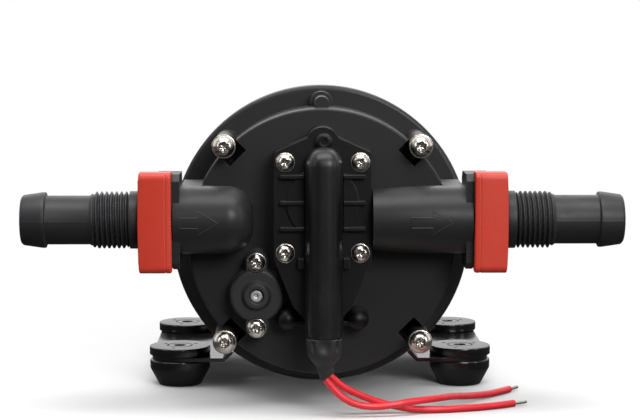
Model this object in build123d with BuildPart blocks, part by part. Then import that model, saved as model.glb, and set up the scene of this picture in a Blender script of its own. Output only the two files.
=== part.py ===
from build123d import *
from math import cos, radians, sin, sqrt, tan
import os

# Twelve volt diaphragm pump for the fresh water of a caravan: a round head with two hose ports and
# a pressure switch, a direct current motor behind it, and a pressed steel base on four rubber feet.
# Millimetres. +X points to the outlet, +Y from the head to the motor and +Z up.
# The origin is on the floor, in the middle of the four feet.
# "Ahead" is a distance towards the head, "rise" a height over the pump's axis.

# Clearances and the overrun of every cut
running_gap = 0.05
soft_gap = 0.3
overrun = 2.0

# Head cover: flange, drum and front disc
axis_height = 62.3
parting_ahead = 46.5
flange_radius = 57.6
flange_thickness = 5.0
flange_edge_round = 1.6
flange_width = 7.6
drum_wall = 2.7
drum_edge_round = 0.7
head_depth = 33.7
disc_thickness = 2.7

# Head screws, their columns and the notches around them
head_screw_count = 4
head_screw_turn = 45.0
head_screw_inset = 6.1
head_screw_radius = 1.95
head_screw_head_radius = 4.45
head_screw_head_height = 3.0
column_radius = 4.1
column_ahead = 7.8
notch_width = 8.6
notch_inset = 13.2
notch_depth = 20.0
notch_wall = 2.2
star_radius = 1.75
star_notch_radius = 0.45
star_depth = 1.6
head_round_share = 0.6

# Locating boss on top of the flange
boss_inset = 6.3
boss_radius = 4.3
boss_height = 8.0
pin_radius = 2.9
pin_height = 21.0

# Port tubes and the blocks that take the fittings
port_rise = 9.6
port_ahead = 10.8
tube_radius = 12.5
tube_nose_radius = 11.1
tube_taper_length = 25.0
inlet_tube_end = 25.6
inlet_tube_round = 9.5
outlet_tube_gap = 0.4
collar_plate_inner = 52.2
collar_plate_half_height = 17.4
collar_plate_chamfer = 2.5
collar_shelf_length = 6.1
block_inner = 54.7
block_outer = 67.3
block_half_height = 15.1
block_ahead = 10.3
block_behind = 11.0
web_behind = 29.0
flow_bore_radius = 4.8
inlet_drilling_across = 34.0
outlet_drilling_across = 24.5
drilling_radius = 4.2

# Hose fittings
shoulder_inset = 3.0
spigot_radius = 7.4
spigot_bore_radius = 4.6
spigot_length = 16.5
collar_radius = 8.8
lock_collar_length = 1.5
neck_radius = 6.4
neck_length = 2.8
fitting_collar_radius = 10.6
fitting_collar_length = 3.2
thread_radius = 10.48
thread_depth = 1.16
thread_pitch = 1.814
thread_length = 14.4
thread_crest_share = 0.3
shank_radius = 9.0
shank_length = 15.8
barb_radius = 10.25
barb_back_length = 0.5
barb_land_length = 1.0
barb_length = 8.1
barb_tip_radius = 9.25
barb_tip_round = 0.8
fitting_bore_radius = 6.2
ring_section_radius = 0.8
ring_seat_width = 2.1
ring_spacing = 5.5
ring_inset = 3.0

# Slide clips
clip_face_ahead = 14.0
clip_face_thickness = 3.4
clip_wall = 3.0
clip_wall_reach = 3.0
clip_edge_round = 2.4
clip_leg_thickness = 2.4
clip_leg_height = 3.7
clip_leg_reach = 7.0
clip_groove_inset = 2.2
clip_groove_width = 0.5
clip_groove_depth = 0.5

# Pressure switch cover
switch_rise = 16.2
switch_height = 14.8
switch_half_width = 17.9
switch_corner_rise = 34.6
switch_shoulder_half_width = 6.0
switch_shoulder_rise = 39.9
switch_hump_radius = 6.1
switch_side_drop = 4.8
switch_taper_half_width = 10.9
switch_taper_drop = 22.3
switch_foot_drop = 31.0
switch_foot_half_width = 5.5
switch_corner_round = 1.5
lobe_across = 13.1
lobe_drop = 28.1
lobe_radius = 4.2
lobe_height = 6.0
lobe_rib_height = 1.4
lobe_rib_drop = 29.6
dome_radius = 13.2
dome_height = 1.2
rib_half_width = 15.5
rib_height = 2.6
rib_thickness = 1.2
rib_spacing = 9.6
vent_radius = 3.0
vent_rise = 38.6
vent_height = 3.6
vent_dimple_radius = 1.3
vent_dimple_depth = 0.8
tab_across = 8.3
tab_drop = 6.0
tab_width = 2.2
tab_height = 3.6
tab_reach = 3.0
switch_screw_across = 13.75
switch_screw_top_rise = 31.05
switch_screw_low_drop = 2.4
small_screw_radius = 1.55
small_screw_head_radius = 3.6
small_screw_head_height = 2.3
small_screw_depth = 5.5
cross_slot_width = 0.9
cross_slot_length = 4.2
cross_slot_depth = 1.2
inner_boss_radius = 3.2

# Pressure switch works
switch_port_radius = 3.0
membrane_radius = 11.0
membrane_thickness = 1.2
spring_well_radius = 7.5
spring_well_depth = 6.2
plunger_radius = 6.5
plunger_thickness = 1.5
plunger_stem_radius = 2.0
button_radius = 1.2
button_reach = 0.9
button_travel = 0.8
button_length = 3.0
switch_spring_radius = 5.0
switch_spring_wire = 0.9
switch_spring_turns = 2
microswitch_width = 10.3
microswitch_length = 27.8
microswitch_height = 15.9
microswitch_edge = 0.8
terminal_width = 4.8
terminal_thickness = 0.8
terminal_length = 6.5
terminal_spread = 6.0
receptacle_width = 6.4
receptacle_thickness = 2.6
receptacle_length = 12.0

# Rubber boot, its end cap and the two leads
boot_across = 0.4
boot_half_width = 6.9
boot_top_rise = 37.0
boot_depth = 12.6
boot_bottom_height = 29.6
boot_round = 4.6
boot_wall = 1.5
cap_inset = 0.35
cap_shoulder_height = 22.6
cap_shoulder_half_width = 5.9
cap_neck_height = 19.0
cap_neck_half_width = 3.4
cap_neck_half_depth = 4.0
cap_neck_end_height = 15.3
cap_neck_shift = 1.36
cap_neck_tilt = 38.0
cap_neck_wall = 0.4
lead_diameter = 2.65
lead_pitch = 3.05
lead_pair_turn = -50.0
lead_seat_depth = 0.8
tip_diameter = 1.5
tip_length = 6.0

# Bypass valve
bypass_across = 24.5
bypass_drop = 18.9
bypass_pad_height = 5.5
bypass_radius = 9.9
bypass_pad_margin = 0.5
bypass_ear_radius = 3.9
bypass_ear_spacing = 24.5
bypass_ear_height = 2.5
bypass_body_height = 3.8
bypass_cone_radius = 5.6
bypass_cone_top_radius = 4.3
bypass_cone_height = 2.6
bypass_well_radius = 2.9
bypass_well_depth = 1.2
bypass_blend = 1.2
bypass_chamber_radius = 7.4
bypass_spring_bore_radius = 4.6
bypass_spring_bore_depth = 2.8
nozzle_radius = 2.6
nozzle_bore_radius = 1.5
nozzle_height = 1.5
return_radius = 1.0
poppet_radius = 4.2
poppet_thickness = 1.5
poppet_stem_radius = 1.4
poppet_travel = 1.5
adjuster_radius = 2.1
adjuster_seat_radius = 4.1
adjuster_seat_height = 0.8
adjuster_socket_width = 2.0
adjuster_socket_depth = 1.4
bypass_spring_radius = 3.1
bypass_spring_wire = 0.6
bypass_spring_turns = 3

# Inner walls of the head, the seal, the valve plate and its valves
core_radius = 20.5
core_wall = 2.0
seal_thickness = 1.2
chamber_count = 3
chamber_turn = 75.0
chamber_inset = 24.0
chamber_radius = 14.5
valve_plate_gap = 0.3
valve_web_thickness = 3.6
valve_disc_thickness = 0.9
inlet_valve_circle = 34.6
inlet_valve_radius = 5.1
inlet_hole_circle = 3.2
inlet_hole_radius = 0.9
inlet_hole_count = 4
valve_stem_radius = 1.2
valve_knob_radius = 1.9
valve_knob_height = 1.2
outlet_valve_radius = 18.5
outlet_valve_thickness = 1.2
outlet_hole_circle = 15.0
outlet_hole_radius = 1.4
outlet_hole_count = 9

# Diaphragm
diaphragm_thickness = 1.8
diaphragm_inset = 0.8
diaphragm_roll_circle = 11.8
diaphragm_roll_radius = 1.1
diaphragm_hole_gap = 0.7

# Wobble plate, pistons and their screws
wobble_tilt = 2.5
piston_radius = 8.5
piston_thickness = 1.6
piston_neck_radius = 5.4
arm_pad_radius = 8.5
arm_plate_thickness = 5.0
wobble_hub_radius = 17.5
wobble_hub_length = 8.0
piston_screw_radius = 1.6
piston_screw_head_radius = 3.0
piston_screw_depth = 6.0

# Ball bearings
motor_bearing_radius = 11.0
motor_bearing_width = 7.0
wobble_bearing_radius = 14.0
wobble_bearing_bore = 6.0
wobble_bearing_width = 8.0
wobble_pocket_depth = 1.5
ball_count = 8
ball_share = 0.24
race_gap = 0.06

# Motor shaft and eccentric hub
shaft_radius = 4.0
hub_collar_radius = 9.0
hub_screw_radius = 1.5
hub_relief = 0.4

# Drive housing
housing_flange_thickness = 5.0
housing_tail_radius = 40.0
housing_shoulder_wall = 8.7
housing_draft_angle = 4.0
housing_length = 24.7
lug_radius = 4.3
lug_height = 8.0

# Motor
motor_radius = 36.0
motor_wall = 1.6
motor_length = 106.0
motor_front_hole_radius = 14.0
magnet_thickness = 8.0
magnet_glue_gap = 0.1
magnet_rear_room = 30.0
magnet_start = 14.0
magnet_gap_angle = 50.0
core_rear_room = 36.0
core_start = 18.0
armature_radius = 23.8
slot_count = 12
slot_width = 2.6
slot_depth = 8.5
winding_gap = 0.3
winding_end_length = 9.0
winding_inner_radius = 9.5
winding_outer_radius = 21.5
commutator_radius = 10.5
commutator_length = 10.5
commutator_slit_width = 0.6
commutator_slit_depth = 1.6
commutator_gap = 4.0
brush_length = 11.0
brush_width = 6.0
brush_height = 6.5
brush_holder_wall = 1.3
brush_holder_gap = 0.2
brush_holder_setback = 2.0
brush_spring_length = 7.0
brush_spring_radius = 2.1
brush_spring_wire = 0.6
brush_spring_turns = 5
card_thickness = 2.0
card_bore_radius = 14.0
cap_register = 3.0
cap_flange_length = 11.5
cap_wall = 3.0
cap_edge_round = 3.0
cap_boss_radius = 14.0
cap_boss_height = 3.0
bolt_circle = 29.5
bolt_radius = 2.0
bolt_head_radius = 3.6
bolt_head_height = 3.0
bolt_grip = 6.0
bolt_hole_extra = 0.5
grommet_offset = 16.5
grommet_radius = 5.0
grommet_groove_radius = 3.6
grommet_bore_radius = 2.0
grommet_lip = 1.8

# Base plate, its screws and the rubber feet
foot_across = 56.0
foot_along = 31.5
plate_thickness = 1.5
wing_top_height = 12.0
wing_inner = 38.6
wing_margin = 11.0
saddle_half_angle = 32.0
plate_clearance = 1.5
saddle_screw_inset = 12.0
saddle_screw_radius = 2.0
saddle_screw_head_radius = 3.8
saddle_screw_head_height = 2.2
saddle_screw_grip = 2.2
foot_height = 15.6
foot_top_radius = 12.1
foot_top_height = 3.5
foot_groove_height = 1.7
foot_groove_radius = 8.2
foot_rim_radius = 11.9
foot_rim_height = 3.6
foot_base_radius = 8.3
foot_hole_radius = 2.25
foot_recess_radius = 4.8
foot_recess_depth = 0.8
foot_edge_round = 0.6

# Radii of the head and of the drive housing that follow the flange
drum_radius = flange_radius - flange_width
head_screw_circle = flange_radius - head_screw_inset
notch_inner_radius = flange_radius - notch_inset
boss_circle = flange_radius - boss_inset
chamber_circle = drum_radius - chamber_inset
housing_cavity_radius = drum_radius - housing_shoulder_wall

# Lengths inside the motor that follow its can
magnet_length = motor_length - magnet_start - magnet_rear_room
core_length = motor_length - core_start - core_rear_room

# Stations along the pump, all from the parting between head and drive housing
parting_y = -parting_ahead
flange_front_y = parting_y - flange_thickness
disc_front_y = parting_y - head_depth
disc_back_y = disc_front_y + disc_thickness
port_y = disc_front_y - port_ahead
port_height = axis_height + port_rise
shoulder_across = block_inner + shoulder_inset
leg_across = shoulder_across + lock_collar_length + neck_length / 2
switch_front_y = disc_front_y - switch_height
diaphragm_back_y = parting_y + diaphragm_thickness
piston_swing = (chamber_circle + piston_radius) * sin(radians(wobble_tilt))
piston_back_y = parting_y - piston_swing - soft_gap
piston_front_y = piston_back_y - piston_thickness
valve_web_back_y = piston_front_y - piston_swing - soft_gap - valve_disc_thickness
valve_web_front_y = valve_web_back_y - valve_web_thickness
seal_front_y = valve_web_front_y - seal_thickness
arm_front_y = diaphragm_back_y + piston_swing + soft_gap
arm_back_y = arm_front_y + arm_plate_thickness
wobble_bearing_front_y = arm_back_y - wobble_pocket_depth
wobble_y = wobble_bearing_front_y + wobble_bearing_width / 2
housing_back_y = diaphragm_back_y + housing_length
bearing_front_y = housing_back_y - motor_bearing_width
motor_front_y = housing_back_y
motor_back_y = motor_front_y + motor_length
core_front_y = motor_front_y + core_start
core_back_y = core_front_y + core_length
winding_back_y = core_back_y + winding_end_length
commutator_front_y = winding_back_y + commutator_gap
commutator_back_y = commutator_front_y + commutator_length
cap_back_y = motor_back_y + cap_flange_length
cap_boss_y = cap_back_y + cap_boss_height
rear_bearing_back_y = cap_boss_y - cap_wall / 2
rear_bearing_front_y = rear_bearing_back_y - motor_bearing_width
cap_front_y = motor_back_y - cap_register
card_front_y = cap_front_y - card_thickness
brush_y = card_front_y - brush_holder_wall - brush_holder_gap - brush_width / 2
plate_back_y = foot_along + wing_margin
boot_middle_y = switch_front_y - boot_depth / 2
microswitch_front_y = switch_front_y - boot_depth + boot_wall + 2 * soft_gap
microswitch_back_y = microswitch_front_y + microswitch_height
microswitch_low = axis_height + switch_rise - microswitch_length / 2
pocket_depth = microswitch_back_y - switch_front_y
saddle_screw_stations = (motor_front_y + saddle_screw_inset, plate_back_y - saddle_screw_inset)


def facing(y, across=0.0, rise=0.0):
    """Plane that looks towards the head; its axes are +X and +Z and its centre lies on the pump's axis."""
    return Plane(origin=(across, y, axis_height + rise), x_dir=(1, 0, 0), z_dir=(0, -1, 0))


def outward(side, across):
    """Plane across a port, that looks away from the pump; its first axis is +Y."""
    return Plane(origin=(side * across, port_y, port_height), x_dir=(0, 1, 0), z_dir=(side, 0, 0))


def port_plane():
    """Plane through both ports, whose axes are +X and +Z, for the profiles that turn about the port."""
    return Plane(origin=(0, port_y, port_height), x_dir=(1, 0, 0), z_dir=(0, -1, 0))


def boot_plane(height):
    """Level plane through the middle of the boot."""
    return Plane(origin=(boot_across, boot_middle_y, height), x_dir=(1, 0, 0), z_dir=(0, 0, 1))


port_axis = Axis((0, port_y, port_height), (1, 0, 0))
wobble_plane = Plane(
    origin=(0, wobble_y, axis_height),
    x_dir=(1, 0, 0),
    z_dir=(0, -cos(radians(wobble_tilt)), -sin(radians(wobble_tilt))),
)


def finish(builder, name):
    """Give a piece its name and write it."""
    builder.part.label = name
    export_step(builder.part, "parts/" + name + ".step")


os.makedirs("parts", exist_ok=True)


def port_tube(side):
    """Outside of one port tube, turned about the port: the inlet ends in a dome, the outlet in a taper."""
    with BuildPart() as tube:
        with BuildSketch(port_plane()):
            with BuildLine():
                if side < 0:
                    end = -inlet_tube_end
                    start = end - inlet_tube_round
                    Line((end, 0), (end, tube_radius - inlet_tube_round))
                    RadiusArc((end, tube_radius - inlet_tube_round), (start, tube_radius), -inlet_tube_round)
                    Line((start, tube_radius), (-block_inner, tube_radius))
                    Line((-block_inner, tube_radius), (-block_inner, 0))
                    Line((-block_inner, 0), (end, 0))
                else:
                    end = switch_half_width + outlet_tube_gap
                    start = end + tube_taper_length
                    Line((end, 0), (end, tube_nose_radius))
                    TangentArc((start, tube_radius), (end, tube_nose_radius), tangent=(-1, 0))
                    Line((start, tube_radius), (block_inner, tube_radius))
                    Line((block_inner, tube_radius), (block_inner, 0))
                    Line((block_inner, 0), (end, 0))
            make_face()
        revolve(axis=port_axis)
    return tube.part


def core_outline(margin):
    """Outline of the outlet chamber: a circle with an arm to the outlet drilling and one to the bypass."""
    Circle(core_radius + margin)
    outlet_reach = sqrt(outlet_drilling_across**2 + port_rise**2)
    outlet_turn = Vector(outlet_drilling_across, port_rise).get_signed_angle(Vector(1, 0))
    with Locations(Rot(Z=-outlet_turn)):
        with Locations((outlet_reach / 2, 0)):
            SlotCenterToCenter(outlet_reach, 2 * (drilling_radius + margin))
    bypass_reach = sqrt(bypass_across**2 + bypass_drop**2)
    bypass_turn = Vector(-bypass_across, -bypass_drop).get_signed_angle(Vector(1, 0))
    with Locations(Rot(Z=-bypass_turn)):
        with Locations((bypass_reach / 2, 0)):
            SlotCenterToCenter(bypass_reach, 2 * (nozzle_radius + margin))


def bypass_outline(margin):
    """Outline of the bypass valve: a round body with an ear above and one below."""
    Circle(bypass_radius + margin)
    SlotCenterToCenter(bypass_ear_spacing, 2 * (bypass_ear_radius + margin), rotation=90)


switch_screw_places = [
    (side * switch_screw_across, rise)
    for side in (-1, 1)
    for rise in (switch_screw_top_rise, -switch_screw_low_drop)
]
bypass_screw_places = [
    (-bypass_across, -bypass_drop + side * bypass_ear_spacing / 2)
    for side in (-1, 1)
]

# Head cover
with BuildPart() as head_cover:
    with BuildSketch(facing(parting_y)):
        Circle(flange_radius)
    extrude(amount=flange_thickness)
    fillet(head_cover.edges().sort_by(Axis.Y)[0], flange_edge_round)
    with BuildSketch(facing(flange_front_y)):
        Circle(drum_radius)
    extrude(amount=head_depth - flange_thickness)
    fillet(head_cover.edges().sort_by(Axis.Y)[0], drum_edge_round)
    with BuildSketch(facing(disc_front_y)):
        with PolarLocations(head_screw_circle, head_screw_count, start_angle=head_screw_turn):
            Rectangle(2 * (head_screw_circle - notch_inner_radius), notch_width)
    extrude(amount=-notch_depth, mode=Mode.SUBTRACT)
    for side in (-1, 1):
        add(port_tube(side))
        with BuildSketch(outward(side, notch_inner_radius)):
            with Locations((web_behind / 2, 0)):
                Rectangle(web_behind, 2 * tube_radius)
        extrude(amount=collar_plate_inner - notch_inner_radius)
        with BuildSketch(outward(side, collar_plate_inner)):
            with Locations(((block_behind - block_ahead) / 2, 0)):
                plate = Rectangle(block_behind + block_ahead, 2 * collar_plate_half_height)
            chamfer(plate.vertices(), collar_plate_chamfer)
        extrude(amount=block_inner - collar_plate_inner)
        with BuildSketch(outward(side, block_inner)):
            with Locations(((block_behind - block_ahead) / 2, 0)):
                Rectangle(block_behind + block_ahead, 2 * block_half_height)
        extrude(amount=block_outer - block_inner)
        # Shelf behind the rim of the clip
        shelf_ahead = clip_face_ahead - clip_face_thickness - clip_wall_reach - soft_gap
        with BuildSketch(outward(side, block_inner)):
            with Locations(((block_behind - shelf_ahead) / 2, 0)):
                shelf = Rectangle(block_behind + shelf_ahead, 2 * collar_plate_half_height)
            chamfer(shelf.vertices(), collar_plate_chamfer)
        extrude(amount=collar_shelf_length)
    # Pad of the bypass valve
    with BuildSketch(facing(disc_front_y, -bypass_across, -bypass_drop)):
        bypass_outline(bypass_pad_margin)
    extrude(amount=bypass_pad_height)
    # Cavity with its walls around the notches
    with BuildSketch(facing(valve_web_front_y)) as cavity:
        Circle(drum_radius - drum_wall)
        with PolarLocations(head_screw_circle, head_screw_count, start_angle=head_screw_turn):
            Rectangle(
                2 * (head_screw_circle - notch_inner_radius + notch_wall),
                notch_width + 2 * notch_wall,
                mode=Mode.SUBTRACT,
            )
    extrude(amount=valve_web_front_y - disc_back_y, mode=Mode.SUBTRACT)
    with BuildSketch(facing(parting_y)):
        Circle(drum_radius - drum_wall)
    extrude(amount=parting_y - valve_web_front_y, mode=Mode.SUBTRACT)
    # Wall of the outlet chamber
    with BuildSketch(facing(disc_back_y)):
        core_outline(core_wall)
    extrude(amount=disc_back_y - seal_front_y)
    with BuildSketch(facing(disc_back_y)):
        core_outline(0)
    extrude(amount=disc_back_y - seal_front_y, mode=Mode.SUBTRACT)
    # Bosses for the screws of the switch and of the bypass valve
    with BuildSketch(facing(disc_back_y)):
        with Locations(*switch_screw_places, *bypass_screw_places):
            Circle(inner_boss_radius)
    extrude(amount=-small_screw_depth)
    with BuildSketch(facing(disc_back_y + small_screw_depth)):
        with Locations(*switch_screw_places, *bypass_screw_places):
            Circle(small_screw_radius + running_gap)
    extrude(amount=small_screw_depth + disc_thickness + bypass_pad_height + overrun, mode=Mode.SUBTRACT)
    # Columns of the head screws and the locating boss
    with BuildSketch(facing(flange_front_y)):
        with PolarLocations(head_screw_circle, head_screw_count, start_angle=head_screw_turn):
            Circle(column_radius)
    extrude(amount=head_depth - flange_thickness + column_ahead)
    with BuildSketch(facing(parting_y)):
        with PolarLocations(head_screw_circle, head_screw_count, start_angle=head_screw_turn):
            Circle(head_screw_radius + soft_gap)
    extrude(amount=head_depth + column_ahead, mode=Mode.SUBTRACT)
    with BuildSketch(facing(flange_front_y, rise=boss_circle)):
        Circle(boss_radius)
    extrude(amount=boss_height)
    with BuildSketch(facing(flange_front_y, rise=boss_circle)):
        Circle(pin_radius)
    extrude(amount=pin_height)
    # Bores of the ports, the slots for the clips and the drillings through the disc
    for side in (-1, 1):
        with BuildSketch(outward(side, block_outer)):
            Circle(collar_radius + soft_gap / 2)
        extrude(amount=-(block_outer - shoulder_across), mode=Mode.SUBTRACT)
        with BuildSketch(outward(side, block_outer)):
            Circle(spigot_radius + running_gap)
        extrude(amount=-(block_outer - shoulder_across + spigot_length + soft_gap), mode=Mode.SUBTRACT)
        drilling_across = inlet_drilling_across if side < 0 else outlet_drilling_across
        with BuildSketch(outward(side, block_inner)):
            Circle(flow_bore_radius)
        extrude(amount=-(block_inner - drilling_across), mode=Mode.SUBTRACT)
        with BuildSketch(facing(port_y, side * drilling_across, port_rise)):
            Circle(drilling_radius)
        extrude(amount=-(port_ahead + disc_thickness + overrun), mode=Mode.SUBTRACT)
        with BuildSketch(outward(side, leg_across)):
            with Locations(
                ((clip_leg_reach - block_ahead) / 2, neck_radius + soft_gap + clip_leg_height / 2),
                ((clip_leg_reach - block_ahead) / 2, -neck_radius - soft_gap - clip_leg_height / 2),
            ):
                Rectangle(
                    clip_leg_reach + block_ahead + 2 * soft_gap,
                    clip_leg_height + 2 * soft_gap,
                )
        extrude(amount=clip_leg_thickness / 2 + soft_gap, both=True, mode=Mode.SUBTRACT)
    # Port of the pressure switch, the bypass chamber with its nozzle and its return
    with BuildSketch(facing(disc_back_y, rise=switch_rise)):
        Circle(switch_port_radius)
    extrude(amount=disc_thickness, mode=Mode.SUBTRACT)
    with BuildSketch(facing(disc_front_y, -bypass_across, -bypass_drop)):
        Circle(bypass_chamber_radius)
    extrude(amount=bypass_pad_height, mode=Mode.SUBTRACT)
    with BuildSketch(facing(disc_front_y, -bypass_across, -bypass_drop)):
        Circle(nozzle_radius)
    extrude(amount=nozzle_height)
    with BuildSketch(facing(disc_back_y, -bypass_across, -bypass_drop)):
        Circle(nozzle_bore_radius)
        bypass_reach = sqrt(bypass_across**2 + bypass_drop**2)
        return_share = -(nozzle_radius + core_wall + return_radius) / bypass_reach
        with Locations((return_share * bypass_across, return_share * bypass_drop)):
            Circle(return_radius)
    extrude(amount=disc_thickness + nozzle_height, mode=Mode.SUBTRACT)
finish(head_cover, "head_cover")


def coil(plane, radius, wire_diameter, length, turns):
    """Compression spring as one tube on quarter turn arcs, between two faces a length apart."""
    gap = running_gap
    steps = 4 * turns
    climb = (length - wire_diameter - 2 * gap) / steps
    first = gap + wire_diameter / 2

    def place(step):
        angle = radians(90 * step)
        return plane.from_local_coords((radius * cos(angle), radius * sin(angle), first + climb * step))

    with BuildPart() as spring:
        with BuildLine() as path:
            for step in range(steps):
                ThreePointArc(place(step), place(step + 0.5), place(step + 1))
        with BuildSketch(Plane(origin=path.line @ 0, z_dir=path.line % 0)):
            Circle(wire_diameter / 2)
        sweep(path=path.line)
    return spring


def pan_screw(plane, places, radius, length, head_radius, head_height, star):
    """Pan-head screws in one node, with a cross recess or a six-pointed star in the head."""
    with BuildPart() as screws:
        with BuildSketch(plane):
            with Locations(*places):
                Circle(head_radius)
        extrude(amount=head_height)
        rims = screws.edges().filter_by(GeomType.CIRCLE).group_by(Axis.Y)[0]
        fillet(rims, head_height * head_round_share)
        with BuildSketch(plane):
            with Locations(*places):
                Circle(radius)
        extrude(amount=-length)
        with BuildSketch(plane.offset(head_height)):
            with Locations(*places):
                if star:
                    Circle(star_radius)
                    with PolarLocations(star_radius, 6):
                        Circle(star_notch_radius)
                else:
                    Rectangle(cross_slot_length, cross_slot_width)
                    Rectangle(cross_slot_width, cross_slot_length)
        extrude(amount=-(star_depth if star else cross_slot_depth), mode=Mode.SUBTRACT)
    return screws


# Head screws, with their threads in the lugs of the drive housing
head_screw_places = [
    (
        head_screw_circle * cos(radians(head_screw_turn + 360 * index / head_screw_count)),
        head_screw_circle * sin(radians(head_screw_turn + 360 * index / head_screw_count)),
    )
    for index in range(head_screw_count)
]
head_screw_length = head_depth + column_ahead + diaphragm_thickness + housing_flange_thickness + lug_height
head_screws = pan_screw(
    facing(disc_front_y - column_ahead),
    head_screw_places,
    head_screw_radius,
    head_screw_length,
    head_screw_head_radius,
    head_screw_head_height,
    True,
)
finish(head_screws, "head_screws")

# Seal on the wall of the outlet chamber
with BuildPart() as cover_seal:
    with BuildSketch(facing(valve_web_front_y)):
        core_outline(core_wall)
    extrude(amount=seal_thickness)
    with BuildSketch(facing(valve_web_front_y)):
        core_outline(0)
    extrude(amount=seal_thickness, mode=Mode.SUBTRACT)
finish(cover_seal, "cover_seal")

# Valve plate with three pump chambers at its back
with BuildPart() as valve_plate:
    with BuildSketch(facing(parting_y)):
        Circle(drum_radius - drum_wall - valve_plate_gap)
    extrude(amount=parting_y - valve_web_front_y)
    with BuildSketch(facing(parting_y)):
        Circle(valve_knob_radius + soft_gap)
        with PolarLocations(chamber_circle, chamber_count, start_angle=chamber_turn):
            Circle(chamber_radius)
    extrude(amount=parting_y - valve_web_back_y, mode=Mode.SUBTRACT)
    with BuildSketch(facing(valve_web_back_y)):
        Circle(valve_stem_radius + running_gap)
        with PolarLocations(outlet_hole_circle, outlet_hole_count, start_angle=chamber_turn):
            Circle(outlet_hole_radius)
        with PolarLocations(inlet_valve_circle, chamber_count, start_angle=chamber_turn):
            Circle(valve_stem_radius + running_gap)
            with PolarLocations(inlet_hole_circle, inlet_hole_count):
                Circle(inlet_hole_radius)
    extrude(amount=valve_web_thickness, mode=Mode.SUBTRACT)
finish(valve_plate, "valve_plate")

# Rubber valves, each held by a knob on its stem
with BuildPart() as inlet_valves:
    with BuildSketch(facing(valve_web_back_y)):
        with PolarLocations(inlet_valve_circle, chamber_count, start_angle=chamber_turn):
            Circle(inlet_valve_radius)
    extrude(amount=-valve_disc_thickness)
    with BuildSketch(facing(valve_web_back_y)):
        with PolarLocations(inlet_valve_circle, chamber_count, start_angle=chamber_turn):
            Circle(valve_stem_radius)
    extrude(amount=valve_web_thickness)
    with BuildSketch(facing(valve_web_front_y)):
        with PolarLocations(inlet_valve_circle, chamber_count, start_angle=chamber_turn):
            Circle(valve_knob_radius)
    extrude(amount=valve_knob_height)
finish(inlet_valves, "inlet_valves")

with BuildPart() as outlet_valve:
    with BuildSketch(facing(valve_web_front_y)):
        Circle(outlet_valve_radius)
    extrude(amount=outlet_valve_thickness)
    with BuildSketch(facing(valve_web_front_y)):
        Circle(valve_stem_radius)
    extrude(amount=-valve_web_thickness)
    with BuildSketch(facing(valve_web_back_y)):
        Circle(valve_knob_radius)
    extrude(amount=-valve_knob_height)
finish(outlet_valve, "outlet_valve")

# Diaphragm between the head and the drive housing, with a moulded roll round each piston
with BuildPart() as diaphragm:
    with BuildSketch(facing(diaphragm_back_y)):
        Circle(flange_radius - diaphragm_inset)
        with PolarLocations(head_screw_circle, head_screw_count, start_angle=head_screw_turn):
            Circle(head_screw_radius + soft_gap, mode=Mode.SUBTRACT)
    extrude(amount=diaphragm_thickness)
    with BuildSketch(facing(parting_y)):
        with PolarLocations(chamber_circle, chamber_count, start_angle=chamber_turn):
            Circle(diaphragm_roll_circle + diaphragm_roll_radius)
            Circle(diaphragm_roll_circle - diaphragm_roll_radius, mode=Mode.SUBTRACT)
    extrude(amount=diaphragm_roll_radius)
    with BuildSketch(facing(diaphragm_back_y)):
        with PolarLocations(chamber_circle, chamber_count, start_angle=chamber_turn):
            Circle(piston_neck_radius + diaphragm_hole_gap)
    extrude(amount=diaphragm_thickness, mode=Mode.SUBTRACT)
finish(diaphragm, "diaphragm")

# Wobble plate: three arms on a hub that holds the wobble bearing, all tilted with the eccentric hub
arm_front = wobble_y - arm_front_y
arm_back = wobble_y - arm_back_y
piston_back = wobble_y - piston_back_y
with BuildPart() as wobble_plate:
    with BuildSketch(wobble_plane.offset(arm_back)):
        with PolarLocations(chamber_circle / 2, chamber_count, start_angle=chamber_turn):
            SlotCenterToCenter(chamber_circle, 2 * arm_pad_radius)
    extrude(amount=arm_plate_thickness)
    with BuildSketch(wobble_plane.offset(arm_front)):
        Circle(wobble_hub_radius)
    extrude(amount=-arm_plate_thickness - wobble_hub_length)
    with BuildSketch(wobble_plane.offset(arm_front)):
        with PolarLocations(chamber_circle, chamber_count, start_angle=chamber_turn):
            Circle(piston_neck_radius)
    extrude(amount=piston_back - arm_front)
    with BuildSketch(wobble_plane.offset(wobble_bearing_width / 2)):
        Circle(wobble_bearing_radius)
    extrude(amount=-wobble_hub_length - overrun, mode=Mode.SUBTRACT)
    with BuildSketch(wobble_plane):
        Circle(wobble_bearing_bore + overrun)
    extrude(amount=wobble_bearing_width / 2 + arm_plate_thickness / 2, mode=Mode.SUBTRACT)
    with BuildSketch(wobble_plane.offset(piston_back)):
        with PolarLocations(chamber_circle, chamber_count, start_angle=chamber_turn):
            Circle(piston_screw_radius)
    extrude(amount=-piston_screw_depth, mode=Mode.SUBTRACT)
finish(wobble_plate, "wobble_plate")

with BuildPart() as pistons:
    with BuildSketch(wobble_plane.offset(piston_back)):
        with PolarLocations(chamber_circle, chamber_count, start_angle=chamber_turn):
            Circle(piston_radius)
            Circle(piston_screw_radius + running_gap, mode=Mode.SUBTRACT)
    extrude(amount=piston_thickness)
    with BuildSketch(wobble_plane.offset(piston_back + piston_thickness)):
        with PolarLocations(chamber_circle, chamber_count, start_angle=chamber_turn):
            Circle(piston_screw_head_radius)
    extrude(amount=-piston_thickness / 2, mode=Mode.SUBTRACT)
finish(pistons, "pistons")

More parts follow.
